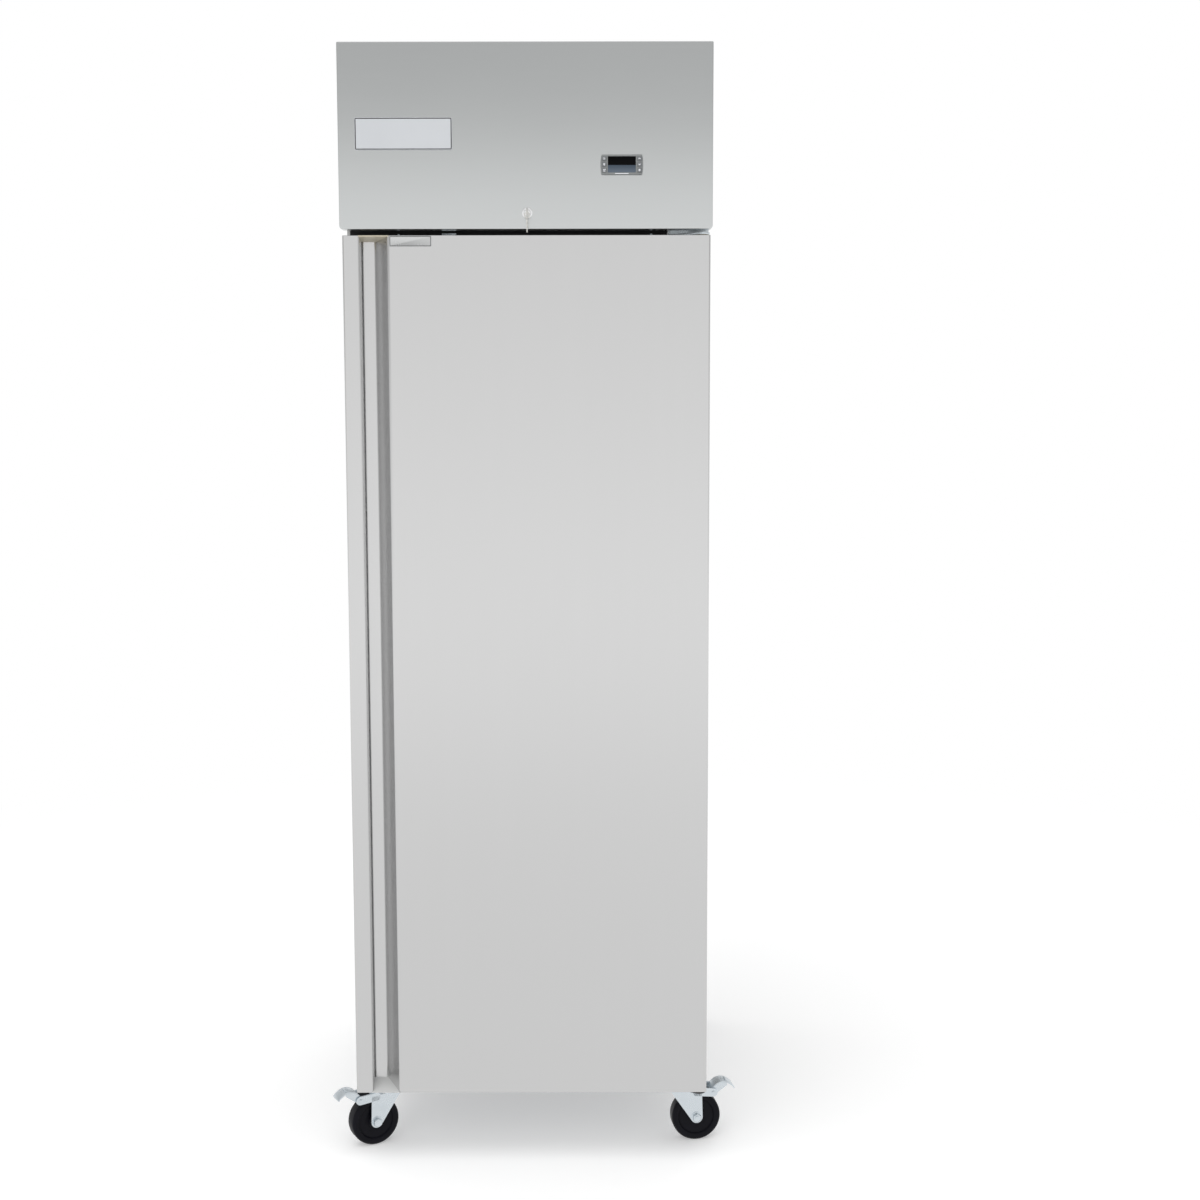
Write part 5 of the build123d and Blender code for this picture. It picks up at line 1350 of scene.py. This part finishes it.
def glandShape():
    # along +Z from the cabinet's back: flange, ribbed dome nut, threaded neck and lock nut inside
    out, inwards = gland["end"] - gland["wall"], gland["inside"] - gland["wall"]
    outline = [
        (gland["bore"], out - 0.0006), (0.0072, out - 0.0002), (0.0094, out - 0.0016),
        (0.0112, out - 0.0050), (0.0118, 0.0052), (0.0146, 0.0048), (0.0149, 0.0006),
        (0.0149, 0.0), (0.0098, 0.0), (0.0098, inwards), (gland["bore"], inwards),
        (gland["bore"], out - 0.0006),
    ]
    rib = (0.0110, -0.0005, 0.0050), (0.01235, 0.0005, out - 0.0042)
    shape = joinRound(turned(outline, 48), gland["ribs"], lambda: block(*rib))
    hexHead(shape, (0, 0, -gland["nutDrop"]), (0, 0, -1), *gland["nut"])
    return shape


glandPlace = at((gland["x"], gland["wall"], gland["z"]), -90)
makePiece("ribbed_gland", moved(glandShape(), glandPlace), "blackPlastic", "cord_gland")

# wiring of the machine compartment: each lead's path, radius and bend
wiring = (
    (
        (
            (-0.143, 0.300, 1.905), (-0.095, 0.300, 1.905), (-0.095, 0.300, 1.816),
            (0.020, 0.300, 1.816), (0.020, 0.105, 1.816), (0.118, 0.105, 1.816),
            (0.118, 0.078, 1.850), (0.118, 0.078, 1.905), (0.118, 0.090, 1.905),
        ), 0.0032, 0.0072,
    ),
    (
        (
            (-0.143, 0.285, 1.890), (-0.120, 0.285, 1.890), (-0.120, 0.150, 1.890),
            (-0.120, 0.060, 1.930), (-0.122, 0.010, 1.938),
        ), 0.00224, 0.0108,
    ),
    (
        (
            (-0.250, 0.399, 1.812), (-0.250, 0.388, 1.812), (-0.250, 0.380, 1.826),
            (-0.250, 0.375, 1.840),
        ), 0.0032, 0.004,
    ),
)
leads = bmesh.new()
for path, radius, bend in wiring:
    bentWire(leads, path, radius, bend, sides=12)
makePiece("compartment_leads", leads, "blackPlastic")
print("stage: machine compartment")

# cabinet: soft folds on the sheets and screws on the back
panelEdge, stripEdge = 0.0010, 0.0006
backScrew = {
    "face": 0.415, "size": (0.0042, 0.0018), "columns": (-0.330, 0.330), "first": 0.150,
    "pitch": 0.230, "count": 8, "across": (-0.22, -0.07, 0.07, 0.22), "rows": (1.775, 0.142),
}
softened("side_panel_left", panelEdge, "sideSteel", 2, 60)
softened("side_panel_right", panelEdge, "sideSteel", 2, 60)
softened("breaker_strip", stripEdge, "palePlastic", 1, 60)
heights = [backScrew["first"] + backScrew["pitch"] * step for step in range(backScrew["count"])]
spots = [(x, z) for x in backScrew["columns"] for z in heights]
spots += [(x, z) for x in backScrew["across"] for z in backScrew["rows"]]
backScrews = bmesh.new()
for x, z in spots:
    screwHead(backScrews, (x, backScrew["face"], z), (0, 1, 0), *backScrew["size"])
makePiece("back_screws", backScrews, "zinc")

# black foam strip in the gap over the door, painted shade that stands in for the gap's shadow; a
# steel keeper in it and two small screws
gap = {
    "strip": ((-0.334, -0.3092, 1.7785), (0.2620, -0.3050, 1.8125)),
    "keeper": ((-0.161, -0.3160, 1.7792), (-0.134, -0.3092, 1.7862)),
    "soft": 0.0008, "screws": (-0.243, 0.232), "screwHeight": 1.7830, "screw": (0.0028, 0.0012),
}
makePiece("gap_shade_strip", block(*gap["strip"], gap["soft"]), "blackFoam")
keeper = block(*gap["keeper"], gap["soft"])
for x in gap["screws"]:
    spot = (x, gap["strip"][0][1], gap["screwHeight"])
    screwHead(keeper, spot, (0, -1, 0), *gap["screw"])
makePiece("gap_keeper", keeper, "zinc")
print("stage: cabinet trim")

# camera, from the photograph's perspective
view = {
    "place": (0.133, -3.663, 1.456), "pitch": -6.18, "roll": 0.10, "yaw": -0.04, "lens": 52.63,
    "sensor": 36.0, "far": 60.0,
}
cameraData = bpy.data.cameras.new("camera")
cameraData.lens = view["lens"]
cameraData.sensor_width = view["sensor"]
cameraData.clip_end = view["far"]
camera = bpy.data.objects.new("camera", cameraData)
camera.location = view["place"]
turn = (90 + view["pitch"], view["roll"], view["yaw"])
camera.rotation_euler = [math.radians(angle) for angle in turn]
bpy.context.scene.collection.objects.link(camera)
bpy.context.scene.camera = camera
bpy.context.scene.view_settings.view_transform = "Standard"

# room: white surroundings, a pale floor and soft lamps
room = {
    "daylight": 0.66,  # what plain surfaces get from all around
    "gloss": (
        (0.0, 0.85), (0.44, 1.0), (0.46, 1.0), (0.50, 0.87), (0.535, 0.86), (0.57, 0.86),
        (0.604, 0.73), (0.629, 0.59), (0.671, 0.53), (0.75, 0.52), (1.0, 0.75),
    ),
    "sides": 0.18,  # how much darker gloss finds the room to the left and right
    "floorGloss": ((0.0, 0.81), (0.15, 0.825), (0.25, 0.84), (0.42, 0.95), (0.62, 1.0), (1.0, 1.0)),
    "floor": 0.80,
    "floorGlow": 0.30,
    "floorReach": 14.0,
    "fade": (1.6, 3.4),
}
lamps = {
    "top": {"place": (-0.6, -1.4, 5.2), "size": (4.5, 4.5), "power": 110.0},
    "front": {"place": (-1.8, -4.6, 3.0), "size": (3.0, 2.4), "power": 40.0},
    "back": {"place": (1.2, 4.2, 3.2), "size": (3.0, 2.4), "power": 34.0},
}
lampAim = Vector((0, 0, 1.0))


def lookingStraight(g):
    # 1 for what the camera sees straight or through glass, and 1 for what gloss finds
    kinds = ("Camera", "Transmission", "Glossy")
    camera, through, gloss = (g.node("LightPath", output=f"Is {kind} Ray") for kind in kinds)
    return camera.maths("MAXIMUM", through), gloss


world = bpy.data.worlds.new("room")
world.use_nodes = True
bpy.context.scene.world = world
sky = Graph(world.node_tree)
straight, gloss = lookingStraight(sky)
across = sky.along("X", "Generated")
band = sky.ramp(room["gloss"], sky.along("Z", "Generated") * 0.5 + 0.5)
band = sky.mix(across * across * across * across * room["sides"], band, shade(0.0))
seen = sky.mix(straight, sky.mix(gloss, shade(room["daylight"]), band), white)
background = sky.node("Background", inputs={"Color": seen, "Strength": 1.0})
sky.node("OutputWorld", inputs={"Surface": background})

for name, setting in lamps.items():
    lamp = bpy.data.lights.new(name, "AREA")
    lamp.shape = "RECTANGLE"
    lamp.size, lamp.size_y = setting["size"]
    lamp.energy = setting["power"]
    holder = bpy.data.objects.new(name, lamp)
    holder.location = setting["place"]
    aim = lampAim - Vector(setting["place"])
    holder.rotation_euler = aim.to_track_quat("-Z", "Y").to_euler()
    holder.visible_glossy = False  # steel shows the room, not the lamps
    bpy.context.scene.collection.objects.link(holder)

floorShape = bmesh.new()
bmesh.ops.create_grid(floorShape, x_segments=1, y_segments=1, size=room["floorReach"])
floorMesh = bpy.data.meshes.new("floor")
floorShape.to_mesh(floorMesh)
floorShape.free()
floor = bpy.data.objects.new("floor", floorMesh)
bpy.context.scene.collection.objects.link(floor)
floorMaterial = bpy.data.materials.new("floor")
floorMaterial.use_nodes = True
ground = Graph(floorMaterial.node_tree)
straight, gloss = lookingStraight(ground)
spot = ground.node("TexCoord", output="Object")
away = ground.node("VectorMath", {"operation": "LENGTH"}, {0: spot}, "Value")
pale = ground.node("BsdfDiffuse", inputs={"Color": shade(room["floor"])})
glow = ground.emission(white, room["floorGlow"])
nearby = ground.node("AddShader", inputs={0: pale, 1: glow})
plain = ground.blend(ground.smoothStep(away, *room["fade"]), nearby, ground.emission(white))
shine = ground.emission(ground.ramp(room["floorGloss"], away * (1 / room["floorReach"])))
surface = ground.blend(gloss, ground.blend(straight, pale, plain), shine)
ground.node("OutputMaterial", inputs={"Surface": surface})
floorMesh.materials.append(floorMaterial)
print("stage: room and camera set")
